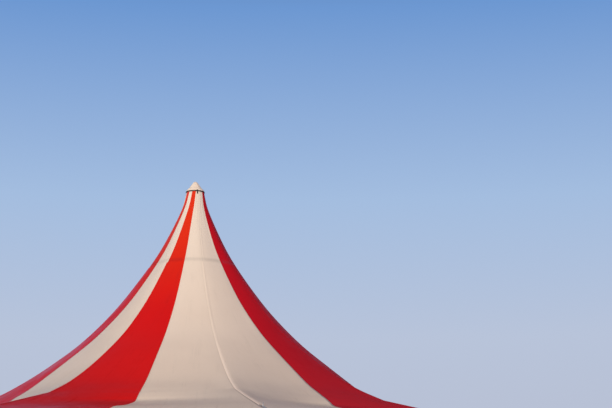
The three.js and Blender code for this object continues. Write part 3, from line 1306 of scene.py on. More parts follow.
        bm = self.spun(rows, start, end, self.strip_columns)
        self.press(bm, start, end, lambda radius: math.degrees(width(radius) / radius), lift)
        for vert in bm.verts:
            radius = math.hypot(vert.co.x, vert.co.y)
            vert.co = Matrix.Rotation(strip.off_line * width(radius) / radius, 3, "Z") @ vert.co
        bmesh.ops.solidify(bm, geom=bm.faces[:], thickness=self.strip_thickness)
        bmesh.ops.recalc_face_normals(bm, faces=bm.faces)
        # Tapes get little soil, no darkening towards the bottom and no soil rim. On the white tapes this
        # keeps the painted highlight bright.
        details = {"soiling": 0.1, "low_darkening": 0.0, "weld": 0.004, "rim": 0.0, "seed": strip.azimuth * 0.1}
        finish = membrane(strip.is_red, f"{strip.name}_tape", **details)
        # Strips on or next to the painted shade gores carry the same painted shade.
        if strip.in_painted_shade:
            finish = replace(finish, **PAINTED_SHADE_RED)
        # White tapes take the painted highlight along their lower part.
        elif not strip.is_red:
            finish = replace(finish, **WHITE_TAPE_PAINTED_HIGHLIGHT)
        return deliver(made(strip.name, bm), finish, cloth_slot(strip.is_red))

    def build(self) -> None:
        """Makes the whole roof."""
        rows = self.form.rows()
        gores = self.gores()
        roof_rows = [row for row in rows if row.height >= self.form.eave[1] and row.radius <= self.pocket_end]
        pocket_rows = [row for row in roof_rows if row.radius >= self.band_radius]
        for gore, after in zip(gores, gores[1:] + gores[:1]):
            in_painted_shade = gore.number in self.painted_shade_pair or (after.number in self.painted_shade_pair and not gore.is_red)
            pair = (gore.number + 1) // 2
            if gore.number % 2:
                size = (self.weld_widths, self.weld_height)
                off_line = -self.weld_off_line if gore.is_red else self.weld_off_line
                weld = Strip(f"seam_weld_{pair}", gore.end, True, in_painted_shade, *size, off_line)
                strip = self.build_strip(weld, roof_rows)
            else:
                size = (self.pocket_widths, self.pocket_height)
                is_red = gore.is_red or after.is_red
                pocket = Strip(f"ridge_pocket_{pair}", gore.end, is_red, in_painted_shade, *size)
                strip = self.build_strip(pocket, pocket_rows)
            self.build_gore(gore, rows)


# Crown


@dataclass
class Crown:
    """Crown ring with its spokes and hub, the two hooks at opposite ridges, and the rain cap."""

    top: float = 9.085
    ring_radius: float = 0.227
    band: float = 0.024
    hoop_radius: float = 0.204
    wall: float = 0.012
    height: float = 0.11
    edge: float = 0.003
    hub_radius: float = 0.078
    hub_bottom: float = 8.9
    hub_top: float = 9.07
    hub_bore: float = 0.0575
    hub_ceiling: float = 9.0405
    spokes: int = 4
    spoke: Point = (0.014, 0.045)
    spoke_bottom: float = 8.995
    spoke_depth: float = 0.008
    spoke_bevel: float = 0.002
    gusset: Size = (0.03, 0.03, 0.012)
    gusset_place: Point = (0.012, 0.02)
    twist: float = 3.5
    hook_width: float = 0.026
    hook_thickness: float = 0.005
    hook_gap: float = 0.003
    hook_over: Profile = ((-0.012, 0.016), (0, 0.01))
    hook_under: Profile = ((0, -0.004), (-0.004, -0.014), (0.001, -0.0363), (0.006, -0.066))
    bolt: Profile = (
        (0, 0.009), (0.008, 0.009), (0.0095, 0.0075), (0.0095, 0), (0.014, 0), (0.014, -0.002), (0, -0.002),
    )
    bolt_place: Point = (0.002, -0.0363)
    cap_radius: float = 0.228
    cap_height: float = 0.258
    cap_gap: float = 0.0015
    cap_thickness: float = 0.003
    tip_radius: float = 0.0006
    cap_shape: Profile = (
        (1, 0), (0.97, 0.045), (0.9, 0.16), (0.78, 0.26), (0.67, 0.345), (0.6, 0.44), (0.53, 0.54),
        (0.45, 0.635), (0.37, 0.73), (0.29, 0.83), (0.21, 0.91), (0.15, 0.96), (0.08, 0.99),
    )
    seam_dip: float = 0.018
    seam_dip_run: float = 0.05

    def build_ring(self) -> None:
        """Makes the ring with its spokes and its hub."""
        bottom = self.top - self.height
        inner = self.hoop_radius - self.wall
        edge = self.edge
        lip = self.top - self.band
        ring = (
            (inner, bottom + edge), (inner + edge, bottom), (self.hoop_radius - edge, bottom),
            (self.hoop_radius, bottom + edge), (self.hoop_radius, lip), (self.ring_radius - edge, lip),
            (self.ring_radius, lip + edge), (self.ring_radius, self.top - edge),
            (self.ring_radius - edge, self.top), (inner + edge, self.top), (inner, self.top - edge),
        )
        hub = (
            (self.hub_bore, self.hub_bottom), (self.hub_radius - edge, self.hub_bottom),
            (self.hub_radius, self.hub_bottom + edge), (self.hub_radius, self.hub_top - edge),
            (self.hub_radius - edge, self.hub_top), (0, self.hub_top), (0, self.hub_ceiling),
            (self.hub_bore, self.hub_ceiling),
        )
        parts = [turned(ring, 96, True), turned(hub, 48, True)]
        start, end = self.hub_radius - self.spoke_depth, inner + self.wall / 2
        width, height = self.spoke
        out, up = self.gusset_place
        for index in range(self.spokes):
            middle = ((start + end) / 2, 0, self.spoke_bottom + height / 2)
            spoke = bar((end - start, width, height), self.spoke_bevel, middle)
            gusset = bar(self.gusset, edge, (self.hub_radius + out, 0, self.spoke_bottom + up))
            way = turn_by(index * 360 / self.spokes, "Z")
            parts += [moved(spoke, way), moved(gusset, way)]
        deliver(made("crown_ring_steel", joined(parts)), BlackPaint(), Slot.BLACK, "crown_ring")

    def build_hooks(self) -> None:
        """Makes the bent straps and bolts that hold two opposite ridges at the ring."""
        out, lip = self.ring_radius + self.hook_gap, self.top - self.band
        path = [(out + x, self.top + z) for x, z in self.hook_over]
        path += [(out + x, lip + z) for x, z in self.hook_under]
        bolt_out, bolt_rise = self.bolt_place
        bolt_place = move_by(out + bolt_out, 0, lip + bolt_rise)
        parts = []
        for index in (0, RIDGES // 2):
            way = facing(ridge_azimuth(index) + self.twist)
            parts.append(moved(ribbon(path, self.hook_width, self.hook_thickness), way))
            parts.append(moved(turned(self.bolt, 6), way, bolt_place, turn_by(90, "Y")))
        deliver(made("ring_hooks", joined(parts)), BlackPaint("black_paint_hooks"), Slot.BLACK)

    def build_cap(self) -> None:
        """Makes the sewn rain cap."""
        base = self.top + self.cap_gap
        profile = [(share * self.cap_radius, base + rise * self.cap_height) for share, rise in self.cap_shape]
        profile.append((self.tip_radius, base + self.cap_height))
        bm = turned(profile, 96)
        reach = dict(zip((round(height, 6) for _, height in profile), lengths(profile)))

        def across(corner: Corner) -> Point:
            """Share of a panel at a face's corner, and the panel's width there."""
            middle = azimuth_of(corner.face.calc_center_median(), 0.0)
            turn = azimuth_of(corner.vert.co, 0.0)
            turn += 360 if middle - turn > 180 else 0
            width = math.radians(FACE_ANGLE) * math.hypot(corner.vert.co.x, corner.vert.co.y)
            return turn / FACE_ANGLE - math.floor(middle / FACE_ANGLE), width

        def cloth(corner: Corner) -> Point:
            """Place of a face's corner on the cloth map."""
            share, width = across(corner)
            return (share - 0.5) * width, reach[round(corner.vert.co.z, 6)]

        def seams(corner: Corner) -> Point:
            """Distances of a face's corner from its panel's two seams."""
            share, width = across(corner)
            return share * width, (1 - share) * width

        map_cloth(bm, cloth, seams)
        for vert in bm.verts:
            off_seam = abs((azimuth_of(vert.co, 0.0) / FACE_ANGLE) % 1 - 0.5) * 2
            dip = 1 - self.seam_dip * smooth(1 - off_seam) * smooth((vert.co.z - base) / self.seam_dip_run)
            vert.co = Vector((vert.co.x * dip, vert.co.y * dip, vert.co.z))
        area = area_of(bm)
        cap = made("crown_cap_cloth", bm)
        thickened(cap, self.cap_thickness)
        details = {"soiling": 0.15, "weld": 0.008, "seed": 3.3}
        finish = Membrane("cap_membrane", WHITE_CAP, WHITE_CAP, WHITE_SOIL, **details)
        deliver(cap, finish, Slot.WHITE, "crown_cap")
        flat = (math.tau * self.cap_radius, lengths(profile)[-1])

    def build(self) -> None:
        """Makes the crown."""
        self.build_ring()
        self.build_hooks()
        self.build_cap()


# Poles


@dataclass
class KingPole:
    """King pole of three spigoted lengths in a bolted base."""

    radius: float = 0.057
    foot: float = 0.0155
    top: float = 9.04
    edge: float = 0.003
    joints: Sequence[float] = (3.02, 6.04)
    sleeve: Profile = (
        (0, -0.16), (0.006, -0.157), (0.007, -0.002), (0.003, 0), (0.007, 0.002), (0.006, 0.157), (0, 0.16),
    )
    bolt_rises: Sequence[float] = (-0.08, 0.08)
    bolt_half: float = 0.077
    bolt_end: Profile = ((0, 0), (0.01275, 0), (0.01615, 0.003), (0.01615, 0.009), (0.0085, 0.009))
    base_side: float = 0.52
    base_plate: float = 0.015
    socket_wall: float = 0.012
    socket_gap: float = 0.0004
    socket_height: float = 0.16
    socket_edge: float = 0.002
    socket_weld: Profile = ((0.01, -0.002), (0.002, 0.01), (0, 0.014))
    gusset: Size = (0.11, 0.008, 0.1)
    gusset_bevel: float = 0.001
    gusset_place: Point = (0.053, 0.049)
    gusset_cut: tuple[Size, Size] = ((0.02, 0, 0.02), (1, 0, 1.1))
    peg: Profile = (
        (0, 0.024), (0.012, 0.024), (0.017, 0.019), (0.018, 0.012), (0.011, 0.008), (0.011, -0.01),
        (0, -0.01),
    )
    peg_inset: float = 0.06

    def build_pole(self) -> None:
        """Makes the pole with its sleeves and bolts."""
        radius, edge = self.radius, self.edge
        profile = [(0, self.foot), (radius - edge, self.foot), (radius, self.foot + edge)]
        for joint in self.joints:
            profile += [(radius + grow, joint + rise) for grow, rise in self.sleeve]
        profile += [(radius, self.top - edge), (radius - edge, self.top), (0, self.top)]
        parts = [turned(profile, 48)]
        bolt = [(out, depth - self.bolt_half) for out, depth in self.bolt_end]
        bolt += [(out, -height) for out, height in reversed(bolt)]
        for height in [joint + rise for joint in self.joints for rise in self.bolt_rises]:
            parts.append(moved(turned(bolt, 12), move_by(z=height), turn_by(90, "Y")))
        deliver(made("king_pole_tube", joined(parts)), Zinc(), Slot.ZINC, "king_pole")

    def build_base(self) -> None:
        """Makes the base plate with its socket, gussets and pegs."""
        plate = self.base_plate
        outer = self.radius + self.socket_wall
        bore = self.radius + self.socket_gap
        socket = [(bore, plate)]
        socket += [(outer + out, plate + up) for out, up in self.socket_weld]
        socket += [
            (outer, self.socket_height - self.socket_edge), (outer - self.socket_edge, self.socket_height),
            (bore, self.socket_height),
        ]
        foot = bar((self.base_side, self.base_side, plate), self.edge, (0, 0, plate / 2))
        parts = [foot, turned(socket, 48, True)]
        out, up = self.gusset_place
        corner = self.base_side / 2 - self.peg_inset
        for angle in range(0, 360, 90):
            way = turn_by(angle, "Z")
            gusset = cut(bar(self.gusset, self.gusset_bevel), *self.gusset_cut)
            parts.append(moved(gusset, way, move_by(outer + out, 0, plate + up)))
            parts.append(moved(turned(self.peg, 24), way, move_by(corner, corner, plate)))
        base = made("king_pole_base_steel", joined(parts))
        deliver(base, Zinc("dull_zinc_base"), Slot.ZINC, "king_pole_base")

    def build(self) -> None:
        """Makes the pole and its base."""
        self.build_pole()
        self.build_base()


@dataclass
class SidePoles:
    """Eight poles under the ridges' ends, each with a foot plate, a head and a pin through the roof."""

    form: RoofForm
    at: float = 7.3
    cloth: float = 0.008
    cloth_gap: float = 0.0005
    foot: Profile = ((0, 0.008), (0.038, 0.007), (0.031, 0.014), (0.03, 0.018))
    head: Profile = (
        (0.03, -0.2), (0.034, -0.197), (0.034, -0.075), (0.036, -0.06), (0.04, -0.058), (0.042, -0.055),
        (0.042, -0.026), (0.036, -0.018), (0.01, -0.012),
    )
    pin: Profile = ((0.01, 0.069), (0.006, 0.075), (0, 0.075))
    plate: Size = (0.18, 0.18, 0.008)
    plate_bevel: float = 0.0025
    nail: Profile = ((0, 0.012), (0.008, 0.012), (0.011, 0.009), (0.011, 0.005), (0, 0.005))
    nail_at: float = 0.065

    def build(self) -> None:
        """Makes the poles."""
        over = self.form.slope_height(self.at)
        under = over - self.cloth / math.cos(self.form.slope) - self.cloth_gap
        tube = [*self.foot, *((radius, under + rise) for radius, rise in self.head)]
        tube += [(radius, over + rise) for radius, rise in self.pin]
        corner = move_by(self.nail_at, self.nail_at)
        for index in range(RIDGES):
            parts = [turned(tube, 32), bar(self.plate, self.plate_bevel, (0, 0, self.plate[2] / 2))]
            for angle in range(0, 360, 90):
                parts.append(moved(turned(self.nail, 16), turn_by(angle, "Z"), corner))
            whole = moved(joined(parts), facing(ridge_azimuth(index)), move_by(self.at))
            node = f"side_pole_{index + 1}"
            deliver(made(f"{node}_tube", whole), Zinc("dull_zinc_poles"), Slot.ZINC, node)


# Guys


@dataclass
class Guys:
    """Eight guys from the ridges' ends to stakes, each with its plate, rope, ratchet, strap and stake."""

    form: RoofForm
    plate_span: Point = (7.25, 7.57)
    plate_width: float = 0.06
    plate_thickness: float = 0.008
    plate_bevel: float = 0.003
    plate_gap: float = 0.0005
    plate_bolts: Sequence[float] = (-0.02, 0.06)
    bolt: Profile = (
        (0, 0.018), (0.009, 0.018), (0.0115, 0.0165), (0.0115, 0.0105), (0.016, 0.0105), (0.016, 0.008),
        (0, 0.008),
    )
    pin_at: float = 7.3
    washer: Profile = ((0.0115, 0.008), (0.024, 0.008), (0.025, 0.0095), (0.024, 0.011), (0.0115, 0.011))
    wire: Point = (0.02, 0.0055)
    ring_inset: float = 0.006
    rope_from: float = 7.555
    rope_start: float = 0.05
    rope_radius: float = 0.009
    strands: int = 3
    strand_sides: int = 4
    strand_depth: float = 0.2
    strand_round: float = 0.7
    lay: float = 0.062
    lay_steps: int = 13
    eye: Size = (0.026, 0.00828, 0.03)
    whipping: Profile = (
        (0, 0.055), (0.012, 0.057), (0.0128, 0.062), (0.0128, 0.11), (0.012, 0.115), (0, 0.117),
    )
    loop: Size = (0.022, 0.0081, -0.012)
    knot: Profile = (
        (0, -0.11), (0.012, -0.108), (0.0145, -0.095), (0.0125, -0.085), (0.0155, -0.07), (0.0128, -0.058),
        (0.015, -0.045), (0.012, -0.032), (0, -0.03),
    )
    ratchet_share: float = 0.68
    ratchet_length: float = 0.23
    ratchet_width: float = 0.062
    cheek: Size = (0.03, 0.003, 0.21)
    cheek_bevel: float = 0.0012
    cheek_place: Point = (0.003, -0.005)
    arm: Size = (0.022, 0.0025, 0.16)
    arm_bevel: float = 0.001
    arm_rise: float = 0.07
    arm_place: Size = (0.004, 0.0065, -0.02)
    arm_tilt: float = -6.0
    pins: Profile = ((0.006, -0.1), (0.0125, 0.02), (0.006, 0.092))
    pin_inset: float = 0.004
    pin_head: Profile = ((0, 0.006), (0.006, 0.006), (0.0085, 0.004), (0.0085, 0), (0, 0))
    pin_head_inset: float = 0.0015
    grip: Size = (0.03, 0.05, 0.045)
    grip_bevel: float = 0.008
    grip_place: Size = (-0.012, 0, 0.125)
    tooth: Size = (0.034, 0.004, 0.006)
    tooth_bevel: float = 0.001
    teeth: Sequence[float] = (0.004, 0.02, 0.036)
    rope_hook_drop: float = 0.004
    stake_at: float = 9.35
    stake_height: float = 0.24
    stake_radius: float = 0.016
    stake_lean: float = 12.0
    stake_depth: float = 0.05
    stake_head: Profile = ((0, -0.03), (0.001, -0.012), (0.005, -0.008), (0.006, -0.003), (0.003, 0))
    stake_dome: float = 0.001
    collar: Size = (0.02, 0.006, 0.03)
    hook_height: float = 0.15
    strap_width: float = 0.048
    strap_thickness: float = 0.0025
    strap_half: float = 0.013
    strap_gap: float = 0.004
    strap_steps: int = 8
    spool: float = 0.02
    tail_thickness: float = 0.0022
    tail_length: float = 0.34
    tail_start: Point = (0.012, 0.03)
    tail_off: float = 0.02
    tail_sag: float = 0.028
    tail_curl: float = 2.6
    tail_slide: float = 0.05
    top: Vector = field(init=False)
    hook: Vector = field(init=False)
    line: Matrix = field(init=False)
    ratchet_at: float = field(init=False)

    def __post_init__(self) -> None:
        """Works out the line that a guy follows in its own vertical plane, and its ratchet's place on it."""
        rise = self.form.slope_height(self.rope_from) + self.plate_thickness / 2
        lean = math.tan(math.radians(self.stake_lean))
        self.top = Vector((self.rope_from, 0, rise))
        self.hook = Vector((self.stake_at + self.hook_height * lean, 0, self.hook_height))
        self.line = along_line(self.top, self.hook)
        self.ratchet_at = (self.hook - self.top).length * self.ratchet_share

    def rope(self) -> Mesh:
        """Makes the laid rope between its two ends.

        Returns:
            The rope along +Z, with its cloth map.
        """
        bm = bmesh.new()
        sides = self.strands * self.strand_sides
        start, end = self.rope_start, self.ratchet_at - self.ratchet_length / 2 + self.knot[-1][1]
        around = bm.verts.layers.float.new(ALONG)
        ring = bmesh.ops.create_circle(bm, cap_ends=False, radius=1, segments=sides)["verts"]
        for index, vert in enumerate(ring):
            turn = math.atan2(vert.co.y, vert.co.x)
            swell = abs(math.cos(turn * self.strands / 2)) ** self.strand_round
            reach = self.rope_radius * (1 - self.strand_depth + self.strand_depth * swell)
            vert.co = Vector((reach * math.cos(turn), reach * math.sin(turn), start))
            vert[around] = index / sides
        turns = (end - start) / self.lay
        steps = round(turns * self.lay_steps)
        bmesh.ops.spin(
            bm, geom=bm.verts[:] + bm.edges[:], cent=(0, 0, 0), axis=(0, 0, 1),
            dvec=(0, 0, (end - start) / steps), angle=turns * math.tau, steps=steps,
        )
        bmesh.ops.recalc_face_normals(bm, faces=bm.faces)
        filled(bm)

        def cloth(corner: Corner) -> Point:
            """Place of a face's corner round the rope and along it."""
            share = corner.vert[around]
            if share == 0 and any(other.vert[around] > 0.5 for other in corner.face.loops):
                share = 1.0
            return share * math.tau * self.rope_radius, corner.vert.co.z

        map_cloth(bm, cloth)
        return bm

    def rope_ends(self) -> Mesh:
        """Makes the whipped eye round the plate's ring, and the knotted loop at the ratchet.

        Returns:
            Both ends along +Z, with their cloth map.
        """
        end = self.ratchet_at - self.ratchet_length / 2
        ends = ((self.eye, self.whipping, 0.0), (self.loop, self.knot, end))
        parts = []
        for (radius, thickness, at), shape, origin in ends:
            parts.append(moved(hoop(radius, thickness, 28), move_by(z=origin + at)))
            parts.append(turned([(out, origin + height) for out, height in shape], 20))
        whole = joined(parts)
        map_cloth(whole, lambda corner: (corner.vert.co.y, corner.vert.co.z))
        return whole

    def plate(self) -> Mesh:
        """Makes the plate on the ridge's end, with the pin's washer, two bolts and the rope's ring.

        Returns:
            The plate in its place at a ridge along +X.
        """
        inner, outer = self.plate_span
        slope = self.form.slope
        middle = (inner + outer) / 2
        length = (outer - inner) / math.cos(slope)
        thickness = self.plate_thickness
        ring_place = move_by(length / 2 - self.ring_inset, 0, thickness / 2)
        parts = [
            bar((length, self.plate_width, thickness), self.plate_bevel, (0, 0, thickness / 2)),
            moved(turned(self.washer, 32, True), move_by((self.pin_at - middle) / math.cos(slope))),
            moved(hoop(*self.wire), ring_place, turn_by(90, "X")),
        ]
        parts += [moved(turned(self.bolt, 6), move_by(x)) for x in self.plate_bolts]
        rise = self.form.slope_height(middle) + self.plate_gap
        return moved(joined(parts), move_by(middle, 0, rise), Matrix.Rotation(slope, 4, "Y"))

    def ratchet(self) -> Mesh:
        """Makes the ratchet with its frame, spool, handle, grip and hook.

        Returns:
            The ratchet in its place on the guy's line.
        """
        half, side = self.ratchet_length / 2, self.ratchet_width / 2
        cheek_inset, cheek_height = self.cheek_place
        arm_out, arm_inset, arm_height = self.arm_place
        parts = []
        for sign in (-1, 1):
            parts.append(bar(self.cheek, self.cheek_bevel, (0, sign * (side - cheek_inset), cheek_height)))
            arm = bar(self.arm, self.arm_bevel, (0, 0, self.arm_rise))
            arm_foot = move_by(arm_out, sign * (side - arm_inset), arm_height)
            parts.append(moved(arm, arm_foot, turn_by(self.arm_tilt, "Y")))
            for _, height in self.pins:
                place = move_by(0, sign * (side - self.pin_head_inset), height)
                parts.append(moved(turned(self.pin_head, 12), place, turn_by(-sign * 90, "X")))
        reach = side - self.pin_inset
        for radius, height in self.pins:
            pin = turned([(0, -reach), (radius, -reach), (radius, reach), (0, reach)], 20)
            parts.append(moved(pin, move_by(z=height), turn_by(90, "X")))
        parts.append(bar(self.grip, self.grip_bevel, self.grip_place, steps=4))
        parts += [bar(self.tooth, self.tooth_bevel, (0, 0, height)) for height in self.teeth]
        hook = hoop(*self.wire, steps=24, angle=270)
        parts.append(moved(hook, move_by(z=-half - self.rope_hook_drop), turn_by(45, "Y")))
        return moved(joined(parts), self.line, move_by(z=self.ratchet_at))

    def stake(self) -> Mesh:
        """Makes the leaning stake with its beaten head and collar.

        Returns:
            The stake in its place, cut off at the ground.
        """
        slant = 1 / math.cos(math.radians(self.stake_lean))
        top = self.stake_height * slant
        profile = [(0, -self.stake_depth), (self.stake_radius, -self.stake_depth)]
        profile += [(self.stake_radius + grow, top + rise) for grow, rise in self.stake_head]
        profile.append((0, top + self.stake_dome))
        radius, thickness, over_hook = self.collar
        collar_place = move_by(z=self.hook_height * slant + over_hook)
        collar = moved(hoop(radius, thickness), collar_place, turn_by(90, "X"))
        whole = joined([turned(profile, 32), collar])
        return cut_at_ground(moved(whole, move_by(self.stake_at), turn_by(self.stake_lean, "Y")))

    def strap(self) -> Mesh:
        """Makes the strap from the ratchet's spool round the stake and back, with its loose tail.

        Returns:
            The strap in the guy's vertical plane.
        """
        down = (self.hook - self.top).normalized()
        side = Vector((-down.z, 0, down.x))
        spool = self.top + down * (self.ratchet_at + self.spool)
        reach = self.stake_radius + self.strap_gap
        loop = [spool + side * self.strap_half]
        for share in (0.0, *shares(self.strap_steps)):
            turn = math.radians(lerp(90, -90, share))
            loop.append(self.hook + down * reach * math.cos(turn) + side * reach * math.sin(turn))
        loop.append(spool - side * self.strap_half)
        back, on = self.tail_start
        tail = [spool - side * back + down * on]
        for share in shares(self.strap_steps):
            sag = self.tail_off + self.tail_sag * math.sin(share * self.tail_curl)
            hang = Vector((0, 0, -self.tail_length * share))
            tail.append(spool - side * sag + down * self.tail_slide * share + hang)
        return joined(
            ribbon([(point.x, point.z) for point in path], self.strap_width, thickness)
            for path, thickness in ((loop, self.strap_thickness), (tail, self.tail_thickness))
        )

    def build(self) -> None:
        """Makes the guys."""
        webbing = Webbing("guy_webbing", STRAP_BUFF, STRAP_STRIPE, self.strap_width)
        for index in range(RIDGES):
            way = facing(ridge_azimuth(index))
            name = f"guy_{index + 1}"
            rope = made(f"{name}_rope", moved(joined([self.rope(), self.rope_ends()]), way, self.line))
            deliver(rope, LaidRope(), Slot.ROPE, f"guy_rope_{index + 1}")
            metal = made(f"{name}_fittings", moved(joined([self.plate(), self.ratchet(), self.stake()]), way))
            deliver(metal, Zinc("dull_zinc_fittings"), Slot.ZINC)
            deliver(made(f"{name}_strap", moved(self.strap(), way)), webbing, Slot.ROPE)


# Walls


@dataclass
class Walls:
    """Hanging side walls, two drawn entrance halves, their corner flaps and ground pegs."""

    form: RoofForm
    apothem: float = 6.905
    depth: float = 0.03
    top: float = 3.158
    side_gap: float = 0.004
    columns: int = 150
    rows: int = 36
    thickness: float = 0.0025
    panel: float = 1.43
    wide_fold: float = 0.47
    narrow_fold: float = 0.21
    narrow_share: float = 0.45
    wander_scale: Size = (0.8, 1.2, 7.1)
    wander_pulls: Point = (3.2, 5.0)
    flattening: Point = (1.15, 0.28)
    unevenness: float = 0.45
    crease: float = 0.18
    crease_scale: Size = (3.0, 5.0, 3.3)
    fold_depths: Point = (0.019, 0.028)
    edge_hold: float = 22.0
    top_hold: Size = (0.93, 0.07, 0.75)
    door_half: float = 1.2
    door_spring: float = 1.7
    door_crown: float = 2.75
    door_upright: float = 0.5
    door_arch: float = 0.86
    door_slit: float = 0.002
    door_fullness: float = 1.12
    peg_spacing: float = 1.2
    peg_lean: float = 14.0
    peg_out: float = 0.075
    peg: Profile = (
        (0, -0.03), (0.006, -0.03), (0.006, 0.05), (0.012, 0.052), (0.0125, 0.056), (0.011, 0.06),
        (0, 0.061),
    )
    peg_off_door: float = 0.1
    loop: Profile = (
        (-0.042, 0.075), (-0.005, 0.06), (0.055, 0.03), (0.08, 0.024), (0.092, 0.018), (0.09, 0.012),
        (0.075, 0.01), (-0.02, 0.03),
    )
    loop_width: float = 0.025
    loop_thickness: float = 0.002
    flap_lap: float = 0.075
    flap_out: float = 0.004
    flap_span: Point = (0.01, 3.0)
    flap_grid: tuple[int, int] = (12, 60)
    flap_round: float = 0.1
    flap_ripple: float = 0.004
    flap_ripple_scale: Size = (9.0, 1.0, 4.0)

    @property
    def half(self) -> float:
        """Half the width of a wall."""
        return (self.apothem - self.depth) * math.tan(HALF_FACE) - self.side_gap

    def folds(self, across: float, share: float, face: int, gathered: float) -> float:
        """How far the cloth stands off its middle plane.

        Args:
            across: Distance along the wall, counted on the cloth.
            share: Height as a share of the wall's height.
            face: Number of the face, which sets the folds apart.
            gathered: How strongly the cloth is drawn together.

        Returns:
            The distance, positive outwards.
        """
        place = (across, share, face)
        wander = ruffle(place, self.wander_scale)
        wide_pull, narrow_pull = self.wander_pulls
        wide = math.sin(across * math.tau / self.wide_fold + face + wander * wide_pull)
        narrow = math.sin(across * math.tau / self.narrow_fold + 2 * face + wander * narrow_pull)
        wave = (wide + self.narrow_share * narrow) / (1 + self.narrow_share)
        steepness, at_top = self.flattening
        deep = lerp(1.0, at_top, smooth(share * steepness)) * lerp(1.0, wander, self.unevenness)
        crease = self.crease * ruffle(place, self.crease_scale)
        return (wave * deep + crease) * lerp(*self.fold_depths, gathered)

    def door_edge(self, share: float) -> Point:
        """Follows the edge of the doorway.

        Args:
            share: Share of the rows of an entrance half, from the ground up.

        Returns:
            Height of the row, and half the doorway's width there.
        """
        if share <= self.door_upright:
            return self.door_spring * share / self.door_upright, self.door_half
        if share <= self.door_arch:
            turn = (share - self.door_upright) / (self.door_arch - self.door_upright) * math.pi / 2
            height = self.door_spring + (self.door_crown - self.door_spring) * math.sin(turn)
            return height, max(self.door_half * math.cos(turn), self.door_slit)
        over = (share - self.door_arch) / (1 - self.door_arch)
        return lerp(self.door_crown, self.top, over), self.door_slit

    def hung(self, face: int, side: int) -> Mesh:
        """Hangs a wall or an entrance half, with its folds and its maps.

        Args:
            face: Number of the face.
            side: 0 for a whole wall, -1 or 1 for an entrance half.

        Returns:
            The wall in its place.
        """
        bm = grid(self.columns // 2 if side else self.columns, self.rows)
        marks = {}
        held_from, held_over, held = self.top_hold
        for vert in bm.verts:
            across, up = vert.co.x, vert.co.y
            if side:
                height, inner = self.door_edge(up)
                x = side * lerp(inner, self.half, across)
                flat = side * lerp(0.0, self.half, across)
                gathered = smooth(inner / self.door_half)
                free = 1.0
            else:
                height = self.top * up
                x = flat = lerp(-self.half, self.half, across)
                gathered = 0.0
                free = smooth(min(across, 1 - across) * self.edge_hold)
            free *= 1 - smooth((height / self.top - held_from) / held_over) * held
            off = self.folds(flat, height / self.top, face, gathered) * free
            marks[vert] = (flat, height)
            vert.co = Vector((self.apothem - self.depth + off, x, max(height, GROUND_GAP)))

        def seams(corner: Corner) -> Point:
            """Distances of a face's corner from its panel's two seams."""
            at = (marks[corner.vert][0] + self.half) % self.panel
            return at, self.panel - at

        map_cloth(bm, lambda corner: marks[corner.vert], seams)
        moved(bm, facing(FACE_ANGLE * face))
        turn_faces(bm, polar(FACE_ANGLE * face, 1, 0))
        return bm

    def build_wall(self, node: str, face: int, side: int, is_red: bool, held_by: list[str]) -> None:
        """Makes one wall or entrance half.

        Args:
            node: The frame's node that it stands for.
            face: Number of its face.
            side: 0 for a whole wall, -1 or 1 for an entrance half.
            is_red: Whether it is red.
            held_by: Nodes of the gores that it hangs from; not used.
        """
        bm = self.hung(face, side)
        area = area_of(bm)
        name = f"{node}_cloth"
        piece = made(name, bm)
        thickened(piece, self.thickness)
        details = {"seed": face * 2.3 + side, "meets_ground": True, "weld": 0.04, "soiling": 0.25}
        deliver(piece, membrane(is_red, f"{name}_membrane", **details), cloth_slot(is_red), node)
        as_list(held_by)

    def build_pegs(self) -> None:
        """Makes the pegs and loops that hold the walls' hems to the ground."""
        pegs = []
        loops = []
        path = [(self.apothem + out, height) for out, height in self.loop]
        for face in range(RIDGES):
            way = facing(FACE_ANGLE * face)
            for across in [step * self.peg_spacing for step in range(-2, 3)]:
                if face == 0 and abs(across) < self.door_half + self.peg_off_door:
                    continue
                place = move_by(self.apothem + self.peg_out, across)
                peg = moved(turned(self.peg, 16), way, place, turn_by(self.peg_lean, "Y"))
                pegs.append(cut_at_ground(peg))
                loop = ribbon(path, self.loop_width, self.loop_thickness)
                loops.append(moved(loop, way, move_by(y=across)))
        deliver(made("wall_pegs", joined(pegs)), Zinc("dull_zinc_pegs"), Slot.ZINC)
        webbing = Webbing("peg_webbing", LOOP_BLACK, LOOP_STRIPE, self.loop_width)
        deliver(made("wall_peg_loops", joined(loops)), webbing, Slot.ROPE)

    def build_flap(self, index: int) -> None:
        """Makes the flap over the corner between two walls.

        Args:
            index: Number of the ridge over it, from 0.
        """
        azimuth = ridge_azimuth(index)
        corner_at = self.apothem / math.cos(HALF_FACE) + self.flap_out
        lap = self.flap_lap
        height = self.flap_span[1]
        bm = grid(*self.flap_grid)
        marks = {}
        for vert in bm.verts:
            across, up = vert.co.x * 2 - 1, vert.co.y
            marks[vert] = (across, up)
            bend = math.hypot(across, self.flap_round) - self.flap_round
            ripple = self.flap_ripple * ruffle((up, across, index), self.flap_ripple_scale)
            x = corner_at - lap * math.sin(HALF_FACE) * bend + ripple
            vert.co = Vector((x, across * lap * math.cos(HALF_FACE), lerp(*self.flap_span, up)))
        map_cloth(
            bm,
            lambda corner: (marks[corner.vert][0] * lap, marks[corner.vert][1] * height),
            lambda corner: ((1 + marks[corner.vert][0]) * lap, (1 - marks[corner.vert][0]) * lap),
        )
        moved(bm, facing(azimuth))
        turn_faces(bm, polar(azimuth, 1, 0))
        area = min(area_of(bm), 2 * lap * height)
        name = f"corner_flap_{index + 1}"
        flap = made(name, bm)
        thickened(flap, self.thickness, 1)
        is_red = index % 2 == 1
        finish = membrane(is_red, f"{name}_membrane", weld=0.012, seed=index * 3.1, meets_ground=True)
        deliver(flap, finish, cloth_slot(is_red))

